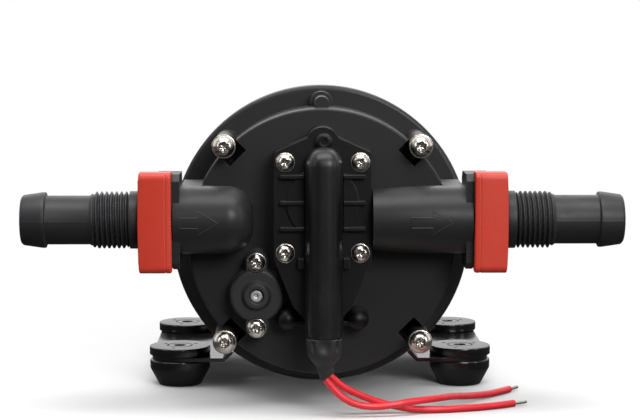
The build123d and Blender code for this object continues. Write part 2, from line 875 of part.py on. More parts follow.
with BuildPart() as piston_screws:
    with BuildSketch(wobble_plane.offset(piston_back + piston_thickness / 2)):
        with PolarLocations(chamber_circle, chamber_count, start_angle=chamber_turn):
            Circle(piston_screw_head_radius - running_gap)
    extrude(amount=piston_thickness / 2)
    with BuildSketch(wobble_plane.offset(piston_back + piston_thickness)):
        with PolarLocations(chamber_circle, chamber_count, start_angle=chamber_turn):
            Rectangle(cross_slot_length - cross_slot_width, cross_slot_width)
    extrude(amount=-piston_thickness / 4, mode=Mode.SUBTRACT)
    with BuildSketch(wobble_plane.offset(piston_back + piston_thickness / 2)):
        with PolarLocations(chamber_circle, chamber_count, start_angle=chamber_turn):
            Circle(piston_screw_radius - running_gap)
    extrude(amount=-piston_screw_depth)
finish(piston_screws, "piston_screws")


def bearing_ring(plane, inner, outer, width, ball_circle, ball_radius):
    """One ring of a ball bearing about the centre of its plane, with the groove for the balls."""
    with BuildPart() as ring:
        with BuildSketch(plane.offset(-width / 2)):
            Circle(outer)
            Circle(inner, mode=Mode.SUBTRACT)
        extrude(amount=width)
        groove = Torus(ball_circle, ball_radius + race_gap, mode=Mode.PRIVATE)
        add(plane * groove, mode=Mode.SUBTRACT)
    return ring.part


def bearing_balls(plane, ball_circle, ball_radius):
    """Balls of a bearing about the centre of its plane."""
    with BuildPart(plane) as balls:
        with PolarLocations(ball_circle, ball_count):
            Sphere(ball_radius)
    return balls.part


def write_bearings(planes, bore, radius, width, names):
    """Write inner rings, outer rings and balls of equal bearings, each kind in one node."""
    ball_circle = (bore + radius) / 2
    ball_radius = (radius - bore) * ball_share
    land = (radius - bore) * (1 - ball_share) / 3
    with BuildPart() as inner_rings:
        for plane in planes:
            add(bearing_ring(plane, bore, bore + land, width, ball_circle, ball_radius))
    finish(inner_rings, names[0])
    with BuildPart() as outer_rings:
        for plane in planes:
            add(bearing_ring(plane, radius - land, radius, width, ball_circle, ball_radius))
    finish(outer_rings, names[1])
    with BuildPart() as balls:
        for plane in planes:
            add(bearing_balls(plane, ball_circle, ball_radius))
    finish(balls, names[2])


write_bearings(
    [wobble_plane],
    wobble_bearing_bore,
    wobble_bearing_radius,
    wobble_bearing_width,
    ("wobble_bearing_inner_ring", "wobble_bearing_outer_ring", "wobble_bearing_balls"),
)
write_bearings(
    [
        facing(bearing_front_y + motor_bearing_width / 2),
        facing(rear_bearing_front_y + motor_bearing_width / 2),
    ],
    shaft_radius,
    motor_bearing_radius,
    motor_bearing_width,
    ("motor_bearing_inner_rings", "motor_bearing_outer_rings", "motor_bearing_balls"),
)

# Eccentric hub: a tilted seat for the wobble bearing and a straight collar with a set screw
hub_front_y = wobble_y - wobble_bearing_width / 2 - hub_relief
hub_back_y = bearing_front_y - hub_relief
collar_front_y = wobble_y + wobble_bearing_width / 2 + hub_relief
hub_screw_y = (collar_front_y + hub_back_y) / 2
hub_screw_plane = Plane(origin=(0, hub_screw_y, axis_height), x_dir=(1, 0, 0), z_dir=(0, 0, 1))
with BuildPart() as eccentric_hub:
    with BuildSketch(wobble_plane.offset(wobble_bearing_width / 2)):
        Circle(wobble_bearing_bore)
    extrude(amount=-wobble_bearing_width - 2 * hub_relief)
    with BuildSketch(facing(hub_back_y)):
        Circle(hub_collar_radius)
    extrude(amount=hub_back_y - collar_front_y)
    with BuildSketch(facing(hub_back_y)):
        Circle(shaft_radius)
    extrude(amount=hub_back_y - hub_front_y + overrun, mode=Mode.SUBTRACT)
    with BuildSketch(hub_screw_plane):
        Circle(hub_screw_radius)
    extrude(amount=hub_collar_radius, mode=Mode.SUBTRACT)
finish(eccentric_hub, "eccentric_hub")

with BuildPart() as hub_set_screw:
    with BuildSketch(hub_screw_plane.offset(shaft_radius)):
        Circle(hub_screw_radius - running_gap)
    extrude(amount=hub_collar_radius - shaft_radius - hub_relief)
finish(hub_set_screw, "hub_set_screw")

with BuildPart() as motor_shaft:
    with BuildSketch(facing(rear_bearing_back_y)):
        Circle(shaft_radius)
    extrude(amount=rear_bearing_back_y - hub_front_y)
finish(motor_shaft, "motor_shaft")

# Drive housing with the wobble space, the seat of the front bearing and the lugs of the head screws
housing_flange_back_y = diaphragm_back_y + housing_flange_thickness
with BuildPart() as drive_housing:
    with BuildSketch(facing(housing_flange_back_y)):
        Circle(flange_radius)
    extrude(amount=housing_flange_thickness)
    fillet(drive_housing.edges().sort_by(Axis.Y)[-1], flange_edge_round)
    with BuildSketch(facing(housing_flange_back_y)):
        Circle(drum_radius)
    with BuildSketch(facing(housing_back_y)):
        Circle(housing_tail_radius)
    loft(ruled=True)
    with BuildSketch(facing(housing_flange_back_y)):
        with PolarLocations(head_screw_circle, head_screw_count, start_angle=head_screw_turn):
            Circle(lug_radius)
    extrude(amount=-lug_height)
    with BuildSketch(facing(diaphragm_back_y)):
        Circle(housing_cavity_radius)
    extrude(amount=-(bearing_front_y - diaphragm_back_y), taper=housing_draft_angle, mode=Mode.SUBTRACT)
    with BuildSketch(facing(bearing_front_y)):
        Circle(motor_bearing_radius + running_gap)
    extrude(amount=-motor_bearing_width, mode=Mode.SUBTRACT)
    with BuildSketch(facing(diaphragm_back_y)):
        with PolarLocations(head_screw_circle, head_screw_count, start_angle=head_screw_turn):
            Circle(head_screw_radius + running_gap)
    extrude(amount=-(housing_flange_thickness + lug_height), mode=Mode.SUBTRACT)
    with BuildSketch(facing(housing_back_y)):
        with PolarLocations(bolt_circle, 2, start_angle=90):
            Circle(bolt_radius + running_gap)
    extrude(amount=bolt_grip + bolt_hole_extra, mode=Mode.SUBTRACT)
finish(drive_housing, "drive_housing")

# Motor can
with BuildPart() as motor_can:
    with BuildSketch(facing(motor_back_y)):
        Circle(motor_radius)
    extrude(amount=motor_length)
    fillet(motor_can.edges().sort_by(Axis.Y)[0], motor_wall)
    with BuildSketch(facing(motor_back_y)):
        Circle(motor_radius - motor_wall)
    extrude(amount=motor_length - motor_wall, mode=Mode.SUBTRACT)
    with BuildSketch(facing(motor_front_y)):
        Circle(motor_front_hole_radius)
        with PolarLocations(bolt_circle, 2, start_angle=90):
            Circle(bolt_radius + soft_gap)
    extrude(amount=-motor_wall, mode=Mode.SUBTRACT)
    for station in saddle_screw_stations:
        with BuildSketch(Plane(origin=(0, station, axis_height - motor_radius), z_dir=(0, 0, 1))):
            Circle(saddle_screw_radius)
        extrude(amount=2 * motor_wall, both=True, mode=Mode.SUBTRACT)
finish(motor_can, "motor_can")

# Two arc magnets
with BuildPart() as motor_magnets:
    with BuildSketch(facing(motor_front_y + magnet_start + magnet_length)) as magnet_ring:
        Circle(motor_radius - motor_wall - magnet_glue_gap)
        Circle(motor_radius - motor_wall - magnet_glue_gap - magnet_thickness, mode=Mode.SUBTRACT)
        gap_reach = 2 * motor_radius
        gap_spread = gap_reach * tan(radians(magnet_gap_angle / 2))
        for reach in (gap_reach, -gap_reach):
            Polygon((0, 0), (gap_spread, reach), (-gap_spread, reach), align=None, mode=Mode.SUBTRACT)
    extrude(amount=magnet_length)
finish(motor_magnets, "motor_magnets")

# Armature
with BuildPart() as armature_core:
    with BuildSketch(facing(core_back_y)):
        Circle(armature_radius)
        with PolarLocations(armature_radius, slot_count):
            Rectangle(2 * slot_depth, slot_width, mode=Mode.SUBTRACT)
        Circle(shaft_radius, mode=Mode.SUBTRACT)
    extrude(amount=core_length)
finish(armature_core, "armature_core")

with BuildPart() as armature_windings:
    for station in (core_front_y, winding_back_y):
        with BuildSketch(facing(station)):
            Circle(winding_outer_radius)
            Circle(winding_inner_radius, mode=Mode.SUBTRACT)
        extrude(amount=winding_end_length)
    with BuildSketch(facing(core_back_y)):
        bar_length = slot_depth - 2 * winding_gap - (armature_radius - winding_outer_radius)
        with PolarLocations(winding_outer_radius - bar_length / 2, slot_count):
            Rectangle(bar_length, slot_width - 2 * winding_gap)
    extrude(amount=core_length)
finish(armature_windings, "armature_windings")

with BuildPart() as commutator:
    with BuildSketch(facing(commutator_back_y)):
        Circle(commutator_radius)
        with PolarLocations(commutator_radius, slot_count):
            Rectangle(2 * commutator_slit_depth, commutator_slit_width, mode=Mode.SUBTRACT)
        Circle(shaft_radius, mode=Mode.SUBTRACT)
    extrude(amount=commutator_length)
finish(commutator, "commutator")

# Brushes, their springs and the card with the two brush holders
brush_inner = commutator_radius + soft_gap
brush_outer = brush_inner + brush_length
holder_inner = brush_inner + brush_holder_setback
holder_outer = brush_outer + brush_spring_length


def beside(side, across):
    """Plane across a brush, that looks away from the commutator."""
    return Plane(origin=(side * across, brush_y, axis_height), x_dir=(0, 1, 0), z_dir=(side, 0, 0))


with BuildPart() as brushes:
    for side in (-1, 1):
        with BuildSketch(beside(side, brush_inner)):
            Rectangle(brush_width, brush_height)
        extrude(amount=brush_length)
finish(brushes, "brushes")

with BuildPart() as brush_springs:
    for side in (-1, 1):
        spring = coil(
            beside(side, brush_outer),
            brush_spring_radius,
            brush_spring_wire,
            brush_spring_length,
            brush_spring_turns,
        )
        add(spring.part)
finish(brush_springs, "brush_springs")

with BuildPart() as brush_card:
    with BuildSketch(facing(cap_front_y)):
        Circle(motor_radius - motor_wall - soft_gap)
        Circle(card_bore_radius, mode=Mode.SUBTRACT)
        with PolarLocations(bolt_circle, 2, start_angle=90):
            Circle(bolt_radius + soft_gap, mode=Mode.SUBTRACT)
    extrude(amount=card_thickness)
    holder_width = brush_width + 2 * (brush_holder_gap + brush_holder_wall)
    holder_height = brush_height + 2 * (brush_holder_gap + brush_holder_wall)
    for side in (-1, 1):
        with BuildSketch(beside(side, holder_inner)):
            Rectangle(holder_width, holder_height)
        extrude(amount=holder_outer + brush_holder_wall - holder_inner)
        with BuildSketch(beside(side, holder_inner)):
            Rectangle(brush_width + 2 * brush_holder_gap, brush_height + 2 * brush_holder_gap)
        extrude(amount=holder_outer - holder_inner, mode=Mode.SUBTRACT)
finish(brush_card, "brush_card")

# Rear cap with the seat of the rear bearing
with BuildPart() as rear_cap:
    with BuildSketch(facing(cap_back_y)):
        Circle(motor_radius)
    extrude(amount=cap_flange_length)
    fillet(rear_cap.edges().sort_by(Axis.Y)[-1], cap_edge_round)
    with BuildSketch(facing(motor_back_y)):
        Circle(motor_radius - motor_wall - running_gap)
    extrude(amount=cap_register)
    with BuildSketch(facing(cap_front_y)):
        Circle(motor_radius - motor_wall - cap_wall)
        Circle(cap_boss_radius, mode=Mode.SUBTRACT)
    extrude(amount=-(cap_back_y - cap_front_y - cap_wall), mode=Mode.SUBTRACT)
    with BuildSketch(facing(cap_front_y)):
        Circle(cap_boss_radius)
    extrude(amount=-(rear_bearing_front_y - cap_front_y) / 2, mode=Mode.SUBTRACT)
    with BuildSketch(facing(cap_back_y)):
        Circle(cap_boss_radius)
    extrude(amount=-cap_boss_height)
    with BuildSketch(facing(cap_front_y)):
        with PolarLocations(bolt_circle, 2, start_angle=90):
            Circle(bolt_head_radius)
    extrude(amount=-(cap_back_y - cap_front_y))
    with BuildSketch(facing(cap_front_y)):
        Circle(motor_bearing_radius + running_gap)
        with PolarLocations(bolt_circle, 2, start_angle=90):
            Circle(bolt_radius + soft_gap)
    extrude(amount=-(rear_bearing_back_y - cap_front_y), mode=Mode.SUBTRACT)
    with BuildSketch(facing(cap_back_y, grommet_offset, grommet_offset)):
        Circle(grommet_groove_radius)
    extrude(amount=cap_wall, mode=Mode.SUBTRACT)
finish(rear_cap, "rear_cap")

with BuildPart() as motor_grommet:
    with BuildSketch(facing(cap_back_y, grommet_offset, grommet_offset)):
        Circle(grommet_radius)
    extrude(amount=-grommet_lip)
    with BuildSketch(facing(cap_back_y, grommet_offset, grommet_offset)):
        Circle(grommet_groove_radius - running_gap)
    extrude(amount=cap_wall)
    with BuildSketch(facing(cap_back_y - cap_wall, grommet_offset, grommet_offset)):
        Circle(grommet_radius)
    extrude(amount=grommet_lip)
    with BuildSketch(facing(cap_back_y + grommet_lip, grommet_offset, grommet_offset)):
        Circle(grommet_bore_radius)
    extrude(amount=cap_wall + 2 * grommet_lip, mode=Mode.SUBTRACT)
finish(motor_grommet, "motor_grommet")

# Two long bolts that hold the rear cap, the can and the drive housing together
with BuildPart() as motor_bolts:
    with BuildSketch(facing(cap_back_y)):
        with PolarLocations(bolt_circle, 2, start_angle=90):
            Circle(bolt_radius)
    extrude(amount=cap_back_y - motor_front_y + bolt_grip)
    with BuildSketch(facing(cap_back_y)):
        with PolarLocations(bolt_circle, 2, start_angle=90):
            RegularPolygon(bolt_head_radius, 6)
    extrude(amount=-bolt_head_height)
finish(motor_bolts, "motor_bolts")

# Hose fittings: spigot with two ring seats, lock collar, neck for the clip, collar, thread and barb
fitting_collar_across = block_outer + soft_gap
thread_across = fitting_collar_across + fitting_collar_length
shank_across = thread_across + thread_length
barb_across = shank_across + shank_length
barb_land_across = barb_across + barb_back_length
tip_across = barb_land_across + barb_land_length + barb_length
spigot_end_across = shoulder_across + soft_gap - spigot_length
ring_seats = [spigot_end_across + ring_inset + index * ring_spacing for index in range(2)]
thread_turns = int(thread_length / thread_pitch)


def fitting_profile():
    """Half section of a fitting as points of distance along the port and radius."""
    points = [(spigot_end_across, spigot_bore_radius), (spigot_end_across, spigot_radius)]
    for seat in ring_seats:
        seat_radius = spigot_radius - 2 * ring_section_radius
        points += [(seat, spigot_radius), (seat, seat_radius)]
        points += [(seat + ring_seat_width, seat_radius), (seat + ring_seat_width, spigot_radius)]
    lock_across = shoulder_across + soft_gap / 2
    neck_across = shoulder_across + lock_collar_length
    points += [(lock_across, spigot_radius), (lock_across, collar_radius), (neck_across, collar_radius)]
    points += [(neck_across, neck_radius), (neck_across + neck_length, neck_radius)]
    points += [(neck_across + neck_length, collar_radius), (fitting_collar_across, collar_radius)]
    points += [(fitting_collar_across, fitting_collar_radius), (thread_across, fitting_collar_radius)]
    root_radius = thread_radius - thread_depth
    flank = thread_pitch * (1 - thread_crest_share) / 2
    for turn in range(thread_turns):
        start = thread_across + turn * thread_pitch
        points += [(start, root_radius), (start + flank, thread_radius)]
        points += [(start + thread_pitch - flank, thread_radius)]
    points += [(thread_across + thread_turns * thread_pitch, root_radius), (shank_across, root_radius)]
    points += [(shank_across, shank_radius), (barb_across, shank_radius)]
    points += [(barb_land_across, barb_radius), (barb_land_across + barb_land_length, barb_radius)]
    points += [(tip_across - barb_tip_round, barb_tip_radius)]
    points += [(tip_across, barb_tip_radius - barb_tip_round)]
    points += [(tip_across, fitting_bore_radius), (fitting_collar_across, fitting_bore_radius)]
    points += [(neck_across + neck_length, spigot_bore_radius)]
    return points


for side, name in ((-1, "inlet"), (1, "outlet")):
    with BuildPart() as fitting:
        with BuildSketch(port_plane()):
            with BuildLine():
                Polyline(*[(side * across, radius) for across, radius in fitting_profile()], close=True)
            make_face()
        revolve(axis=port_axis)
    finish(fitting, name + "_fitting")
    with BuildPart() as rings:
        for seat in ring_seats:
            across = side * (seat + ring_seat_width / 2)
            with BuildSketch(port_plane()):
                with Locations((across, spigot_radius - ring_section_radius)):
                    Circle(ring_section_radius)
            revolve(axis=port_axis)
    finish(rings, name + "_o_rings")

# Slide clips: a face and two walls outside the block, and a fork that holds the neck of the fitting
plate_behind = clip_face_thickness - clip_face_ahead
for side, name in ((-1, "inlet"), (1, "outlet")):
    with BuildPart() as clip:
        with BuildSketch(outward(side, block_inner + soft_gap)):
            half_height = block_half_height + soft_gap + clip_wall
            with Locations(((plate_behind - clip_face_ahead) / 2, 0)):
                Rectangle(clip_face_thickness, 2 * half_height)
            for way in (-1, 1):
                with Locations((plate_behind + clip_wall_reach / 2, way * (half_height - clip_wall / 2))):
                    Rectangle(clip_wall_reach, clip_wall)
        extrude(amount=block_outer - block_inner - soft_gap)
        outside = clip.edges().filter_by(Axis.X).group_by(Axis.Y)[0]
        fillet(outside, clip_edge_round)
        with BuildSketch(outward(side, leg_across)):
            for way in (-1, 1):
                leg_rise = way * (neck_radius + soft_gap + clip_leg_height / 2)
                with Locations(((clip_leg_reach + plate_behind) / 2, leg_rise)):
                    Rectangle(clip_leg_reach - plate_behind, clip_leg_height)
        extrude(amount=clip_leg_thickness / 2, both=True)
        with BuildSketch(outward(side, block_inner + soft_gap + clip_groove_inset)):
            with Locations((-clip_face_ahead, 0)):
                Rectangle(2 * clip_groove_depth, 2 * half_height + overrun)
        extrude(amount=clip_groove_width, mode=Mode.SUBTRACT)
    finish(clip, name + "_clip")


# Outline of the switch cover: straight sides, sloping shoulders and a tapered foot
switch_side_points = [
    (switch_foot_half_width, -switch_foot_drop),
    (switch_foot_half_width, -lobe_drop),
    (switch_taper_half_width, -switch_taper_drop),
    (switch_half_width, -switch_side_drop),
    (switch_half_width, switch_corner_rise),
    (switch_shoulder_half_width, switch_shoulder_rise),
]
switch_points = switch_side_points + [(-across, rise) for across, rise in reversed(switch_side_points)]

# Switch cover
with BuildPart() as switch_cover:
    with BuildSketch(facing(disc_front_y)) as cover_sketch:
        with BuildLine():
            Polyline(*switch_points, close=True)
        make_face()
        fillet(cover_sketch.vertices().group_by(Axis.X)[0], switch_corner_round)
        fillet(cover_sketch.vertices().group_by(Axis.X)[-1], switch_corner_round)
        with Locations((0, switch_shoulder_rise - switch_hump_radius / 3)):
            Circle(switch_hump_radius)
    extrude(amount=switch_height)
    # Small domed vent above the boot
    with BuildSketch(facing(switch_front_y, boot_across, vent_rise)):
        Circle(vent_radius)
    extrude(amount=vent_height)
    fillet(switch_cover.edges().group_by(Axis.Y)[0], vent_radius / 3)
    with BuildSketch(facing(switch_front_y - vent_height, boot_across, vent_rise)):
        Circle(vent_dimple_radius)
    extrude(amount=-vent_dimple_depth, mode=Mode.SUBTRACT)
    for way in (-1, 1):
        with BuildSketch(facing(disc_front_y, way * lobe_across, -lobe_drop)):
            Circle(lobe_radius)
        extrude(amount=lobe_height)
        with Locations((way * lobe_across, disc_front_y - lobe_height, axis_height - lobe_drop)):
            Sphere(lobe_radius)
    with BuildSketch(facing(disc_front_y)):
        with Locations((0, -lobe_rib_drop)):
            Rectangle(2 * lobe_across, lobe_rib_height)
    extrude(amount=lobe_height + lobe_radius / 2)
    # The round dome over the membrane, and the three ribs across it
    with BuildSketch(facing(switch_front_y)):
        with Locations((0, switch_rise)):
            Circle(dome_radius)
    extrude(amount=dome_height)
    with BuildSketch(facing(switch_front_y)):
        with Locations(*[(0, switch_rise + step * rib_spacing) for step in (-1, 0, 1)]):
            Rectangle(2 * rib_half_width, rib_thickness)
    extrude(amount=rib_height)
    with BuildSketch(facing(switch_front_y)):
        with Locations((boot_across + tab_across, -tab_drop), (boot_across - tab_across, -tab_drop)):
            Rectangle(tab_width, tab_height)
    extrude(amount=tab_reach)
    # Seat of the boot, flat through dome and ribs
    with BuildSketch(facing(switch_front_y, boot_across)):
        with Locations((0, boot_top_rise / 2)):
            Rectangle(2 * (boot_half_width + soft_gap), boot_top_rise)
    extrude(amount=rib_height + overrun, mode=Mode.SUBTRACT)
    # Pocket of the microswitch, spring well, membrane seat, stem hole and screw holes
    with BuildSketch(facing(switch_front_y, boot_across, switch_rise)):
        Rectangle(microswitch_width + 2 * soft_gap, microswitch_length + 2 * soft_gap)
    extrude(amount=-pocket_depth, mode=Mode.SUBTRACT)
    with BuildSketch(facing(disc_front_y, boot_across, switch_rise)):
        Circle(membrane_radius + soft_gap)
    extrude(amount=membrane_thickness, mode=Mode.SUBTRACT)
    with BuildSketch(facing(disc_front_y - membrane_thickness, boot_across, switch_rise)):
        Circle(spring_well_radius)
    extrude(amount=spring_well_depth, mode=Mode.SUBTRACT)
    with BuildSketch(facing(disc_front_y, boot_across, switch_rise)):
        Circle(plunger_stem_radius + soft_gap)
    extrude(amount=switch_height, mode=Mode.SUBTRACT)
    with BuildSketch(facing(disc_front_y)):
        with Locations(*switch_screw_places):
            Circle(small_screw_radius + soft_gap)
    extrude(amount=switch_height, mode=Mode.SUBTRACT)
finish(switch_cover, "switch_cover")

switch_screws = pan_screw(
    facing(switch_front_y),
    switch_screw_places,
    small_screw_radius,
    switch_height + disc_thickness + small_screw_depth - soft_gap,
    small_screw_head_radius,
    small_screw_head_height,
    False,
)
finish(switch_screws, "switch_screws")

# Works of the pressure switch
with BuildPart() as switch_membrane:
    with BuildSketch(facing(disc_front_y, boot_across, switch_rise)):
        Circle(membrane_radius)
    extrude(amount=membrane_thickness)
finish(switch_membrane, "switch_membrane")

plunger_back_y = disc_front_y - membrane_thickness
plunger_front_y = plunger_back_y - plunger_thickness
button_back_y = microswitch_back_y + button_reach
with BuildPart() as switch_plunger:
    with BuildSketch(facing(plunger_back_y, boot_across, switch_rise)):
        Circle(plunger_radius)
    extrude(amount=plunger_thickness)
    with BuildSketch(facing(plunger_front_y, boot_across, switch_rise)):
        Circle(plunger_stem_radius)
    extrude(amount=plunger_front_y - button_back_y - running_gap)
finish(switch_plunger, "switch_plunger")

well_front_y = plunger_back_y - spring_well_depth
switch_spring = coil(
    facing(plunger_front_y, boot_across, switch_rise),
    switch_spring_radius,
    switch_spring_wire,
    plunger_front_y - well_front_y,
    switch_spring_turns,
)
finish(switch_spring, "switch_spring")

with BuildPart() as microswitch_body:
    with BuildSketch(facing(microswitch_back_y, boot_across, switch_rise)):
        Rectangle(microswitch_width, microswitch_length)
    extrude(amount=microswitch_height)
    chamfer(microswitch_body.edges().group_by(Axis.Y)[0], microswitch_edge)
    with BuildSketch(facing(microswitch_back_y, boot_across, switch_rise)):
        Circle(button_radius + running_gap)
    extrude(amount=button_length + button_travel, mode=Mode.SUBTRACT)
finish(microswitch_body, "microswitch_body")

with BuildPart() as microswitch_button:
    with BuildSketch(facing(button_back_y, boot_across, switch_rise)):
        Circle(button_radius)
    extrude(amount=button_length)
finish(microswitch_button, "microswitch_button")

terminal_places = [(0, way * terminal_spread / 2) for way in (-1, 1)]
with BuildPart() as switch_terminals:
    with BuildSketch(boot_plane(microswitch_low)):
        with Locations(*terminal_places):
            Rectangle(terminal_width, terminal_thickness)
    extrude(amount=-terminal_length)
finish(switch_terminals, "switch_terminals")

receptacle_top = microswitch_low - terminal_length / 3
receptacle_low = receptacle_top - receptacle_length
with BuildPart() as lead_receptacles:
    with BuildSketch(boot_plane(receptacle_top)):
        with Locations(*terminal_places):
            Rectangle(receptacle_width, receptacle_thickness)
    extrude(amount=-receptacle_length)
    with BuildSketch(boot_plane(receptacle_top)):
        with Locations(*terminal_places):
            Rectangle(terminal_width + 2 * running_gap, terminal_thickness + 2 * running_gap)
    extrude(amount=-terminal_length, mode=Mode.SUBTRACT)
finish(lead_receptacles, "lead_receptacles")

# Rubber boot over the microswitch, open at its back where it covers the pocket
boot_bottom_rise = boot_bottom_height - axis_height
with BuildPart() as switch_boot:
    with BuildSketch(facing(switch_front_y, boot_across)):
        with Locations((0, (boot_bottom_rise + boot_top_rise - boot_half_width) / 2)):
            Rectangle(2 * boot_half_width, boot_top_rise - boot_half_width - boot_bottom_rise)
        with Locations((0, boot_top_rise - boot_half_width)):
            Circle(boot_half_width)
    extrude(amount=boot_depth)
    front_edges = switch_boot.edges().group_by(Axis.Y)[0]
    rim = front_edges.sort_by(Axis.Z)[1:]
    fillet(rim, boot_round)
    with BuildSketch(facing(switch_front_y, boot_across)):
        pocket_top = switch_rise + microswitch_length / 2 + soft_gap
        pocket_low = switch_rise - microswitch_length / 2 - terminal_length
        with Locations((0, (pocket_top + pocket_low) / 2)):
            Rectangle(microswitch_width + 2 * soft_gap, pocket_top - pocket_low)
    extrude(amount=boot_depth - boot_wall, mode=Mode.SUBTRACT)
    with BuildSketch(boot_plane(boot_bottom_height)):
        RectangleRounded(2 * (boot_half_width - boot_wall), boot_depth - 2 * boot_wall, boot_wall)
    extrude(amount=microswitch_low - boot_bottom_height, mode=Mode.SUBTRACT)
finish(switch_boot, "switch_boot")

# End cap of the boot, tapered to a slanted neck that holds the two leads
lead_slot_width = lead_diameter + 2 * running_gap
lead_pair_across = lead_pitch * cos(radians(lead_pair_turn))
lead_pair_deep = -lead_pitch * sin(radians(lead_pair_turn))
neck_plane = Plane(
    origin=(boot_across + cap_neck_shift, boot_middle_y, cap_neck_end_height),
    x_dir=(cos(radians(cap_neck_tilt)), 0, sin(radians(cap_neck_tilt))),
    z_dir=(sin(radians(cap_neck_tilt)), 0, -cos(radians(cap_neck_tilt))),
)


def lead_exit(way, depth):
    """Centre of one lead at a depth inside the end of the neck; the supply lead is the front one."""
    across = way * lead_pair_across / 2
    ahead = -way * lead_pair_deep / 2
    return tuple(neck_plane.from_local_coords((across, ahead, -depth)))


def lead_tail(way, width, lift):
    """Lead inside the boot as a tube, from its receptacle down to a lift over its seat in the neck."""
    seat = Vector(*lead_exit(way, lead_seat_depth))
    start = Vector(boot_across, boot_middle_y + way * terminal_spread / 2, receptacle_low)
    bend = start - Vector(0, 0, terminal_length)
    with BuildPart() as tube:
        with BuildLine():
            end = seat + (bend - seat).normalized() * lift
            path = FilletPolyline(start, bend, end, radius=lead_diameter)
        with BuildSketch(Plane(origin=path @ 0, z_dir=path % 0)):
            Circle(width / 2)
        sweep(path=path)
    return tube.part


with BuildPart() as boot_end:
    with BuildSketch(boot_plane(boot_bottom_height)):
        RectangleRounded(2 * (boot_half_width - cap_inset), boot_depth - 2 * cap_inset, boot_round)
    with BuildSketch(boot_plane(cap_shoulder_height)):
        RectangleRounded(2 * cap_shoulder_half_width, 2 * cap_shoulder_half_width, boot_round)
    loft(ruled=True)
    with BuildSketch(boot_plane(cap_shoulder_height)):
        RectangleRounded(2 * cap_shoulder_half_width, 2 * cap_shoulder_half_width, boot_round)
    with BuildSketch(boot_plane(cap_neck_height)):
        RectangleRounded(2 * cap_neck_half_width, 2 * cap_neck_half_depth, boot_wall)
    loft(ruled=True)
    with BuildSketch(boot_plane(cap_neck_height)):
        RectangleRounded(2 * cap_neck_half_width, 2 * cap_neck_half_depth, boot_wall)
    with BuildSketch(neck_plane):
        RectangleRounded(
            lead_pair_across + lead_slot_width + 2 * cap_neck_wall,
            lead_pair_deep + lead_slot_width + 2 * cap_neck_wall,
            boot_wall,
        )
    loft(ruled=True)
    with BuildSketch(boot_plane(boot_bottom_height)):
        RectangleRounded(2 * cap_neck_half_width, 2 * (cap_shoulder_half_width - boot_wall), boot_wall)
    extrude(amount=cap_shoulder_height - boot_bottom_height, mode=Mode.SUBTRACT)
    with BuildSketch(neck_plane):
        SlotCenterToCenter(lead_pitch, lead_slot_width, rotation=lead_pair_turn)
    extrude(amount=-2 * lead_seat_depth, mode=Mode.SUBTRACT)
    for way in (-1, 1):
        add(lead_tail(way, lead_slot_width, 0), mode=Mode.SUBTRACT)
finish(boot_end, "boot_end")


def corner_radii(route):
    """Radius for each corner: a share of the shorter run over the tangent of half the turn."""
    radii = []
    for before, corner, after in zip(route, route[1:], route[2:]):
        first = Vector(*corner) - Vector(*before)
        second = Vector(*after) - Vector(*corner)
        half_turn = radians(first.get_angle(second)) / 2
        radii.append(corner_share * min(first.length, second.length) / tan(half_turn))
    return radii


def lead_tube(route, name):
    """Tube along straight runs and tangent arcs, with its radii and its volume per length printed."""
    radii = corner_radii(route)
    with BuildPart() as tube:
        with BuildLine():
            path = FilletPolyline(*route, radius=radii)
        with BuildSketch(Plane(origin=path @ 0, z_dir=path % 0)):
            Circle(lead_diameter / 2)
        sweep(path=path)
    section = tube.part.volume / path.length
    print(name, "length", round(path.length, 1), "section", round(section, 3))
    print(name, "radii", [round(radius, 1) for radius in radii])
    return tube


corner_share = 0.45
# Routes on the floor, each from its exit to the start of its bare tip
supply_route = [
    lead_exit(-1, lead_seat_depth),
    (4.4, -102.6, 9.9),
    (8.0, -102.6, 6.9),
    (11.8, -102.1, 4.9),
    (18.3, -101.2, 3.4),
    (25.0, -100.8, 4.5),
    (31.8, -99.0, 7.1),
    (42.5, -92.0, 7.1),
    (49.0, -83.0, 3.3),
    (56.0, -73.0, 1.4),
    (65.6, -63.8, 1.4),
    (73.6, -53.2, 1.4),
]
motor_route = [
    lead_exit(1, lead_seat_depth),
    (6.1, -100.2, 11.3),
    (11.5, -98.7, 7.7),
    (18.1, -96.4, 4.6),
    (25.6, -95.3, 2.5),
    (33.0, -95.9, 1.5),
    (41.0, -96.9, 1.4),
    (50.0, -95.6, 1.4),
    (59.0, -93.2, 1.4),
    (66.5, -89.8, 1.4),
    (72.2, -86.0, 1.4),
]
supply_lead = lead_tube(supply_route, "supply_lead")
finish(supply_lead, "supply_lead")
motor_lead = lead_tube(motor_route, "motor_lead")
finish(motor_lead, "motor_lead")

with BuildPart() as lead_tips:
    for route in (supply_route, motor_route):
        end = Vector(*route[-1])
        with BuildSketch(Plane(origin=end, z_dir=end - Vector(*route[-2]))):
            Circle(tip_diameter / 2)
        extrude(amount=tip_length)
finish(lead_tips, "lead_tips")

# The leads inside the boot, clear of the slanted ends of the leads outside
tail_lift = lead_diameter / 2 * sin(radians(cap_neck_tilt)) + soft_gap
with BuildPart() as lead_tails:
    for way in (-1, 1):
        add(lead_tail(way, lead_diameter, tail_lift))
finish(lead_tails, "lead_tails")

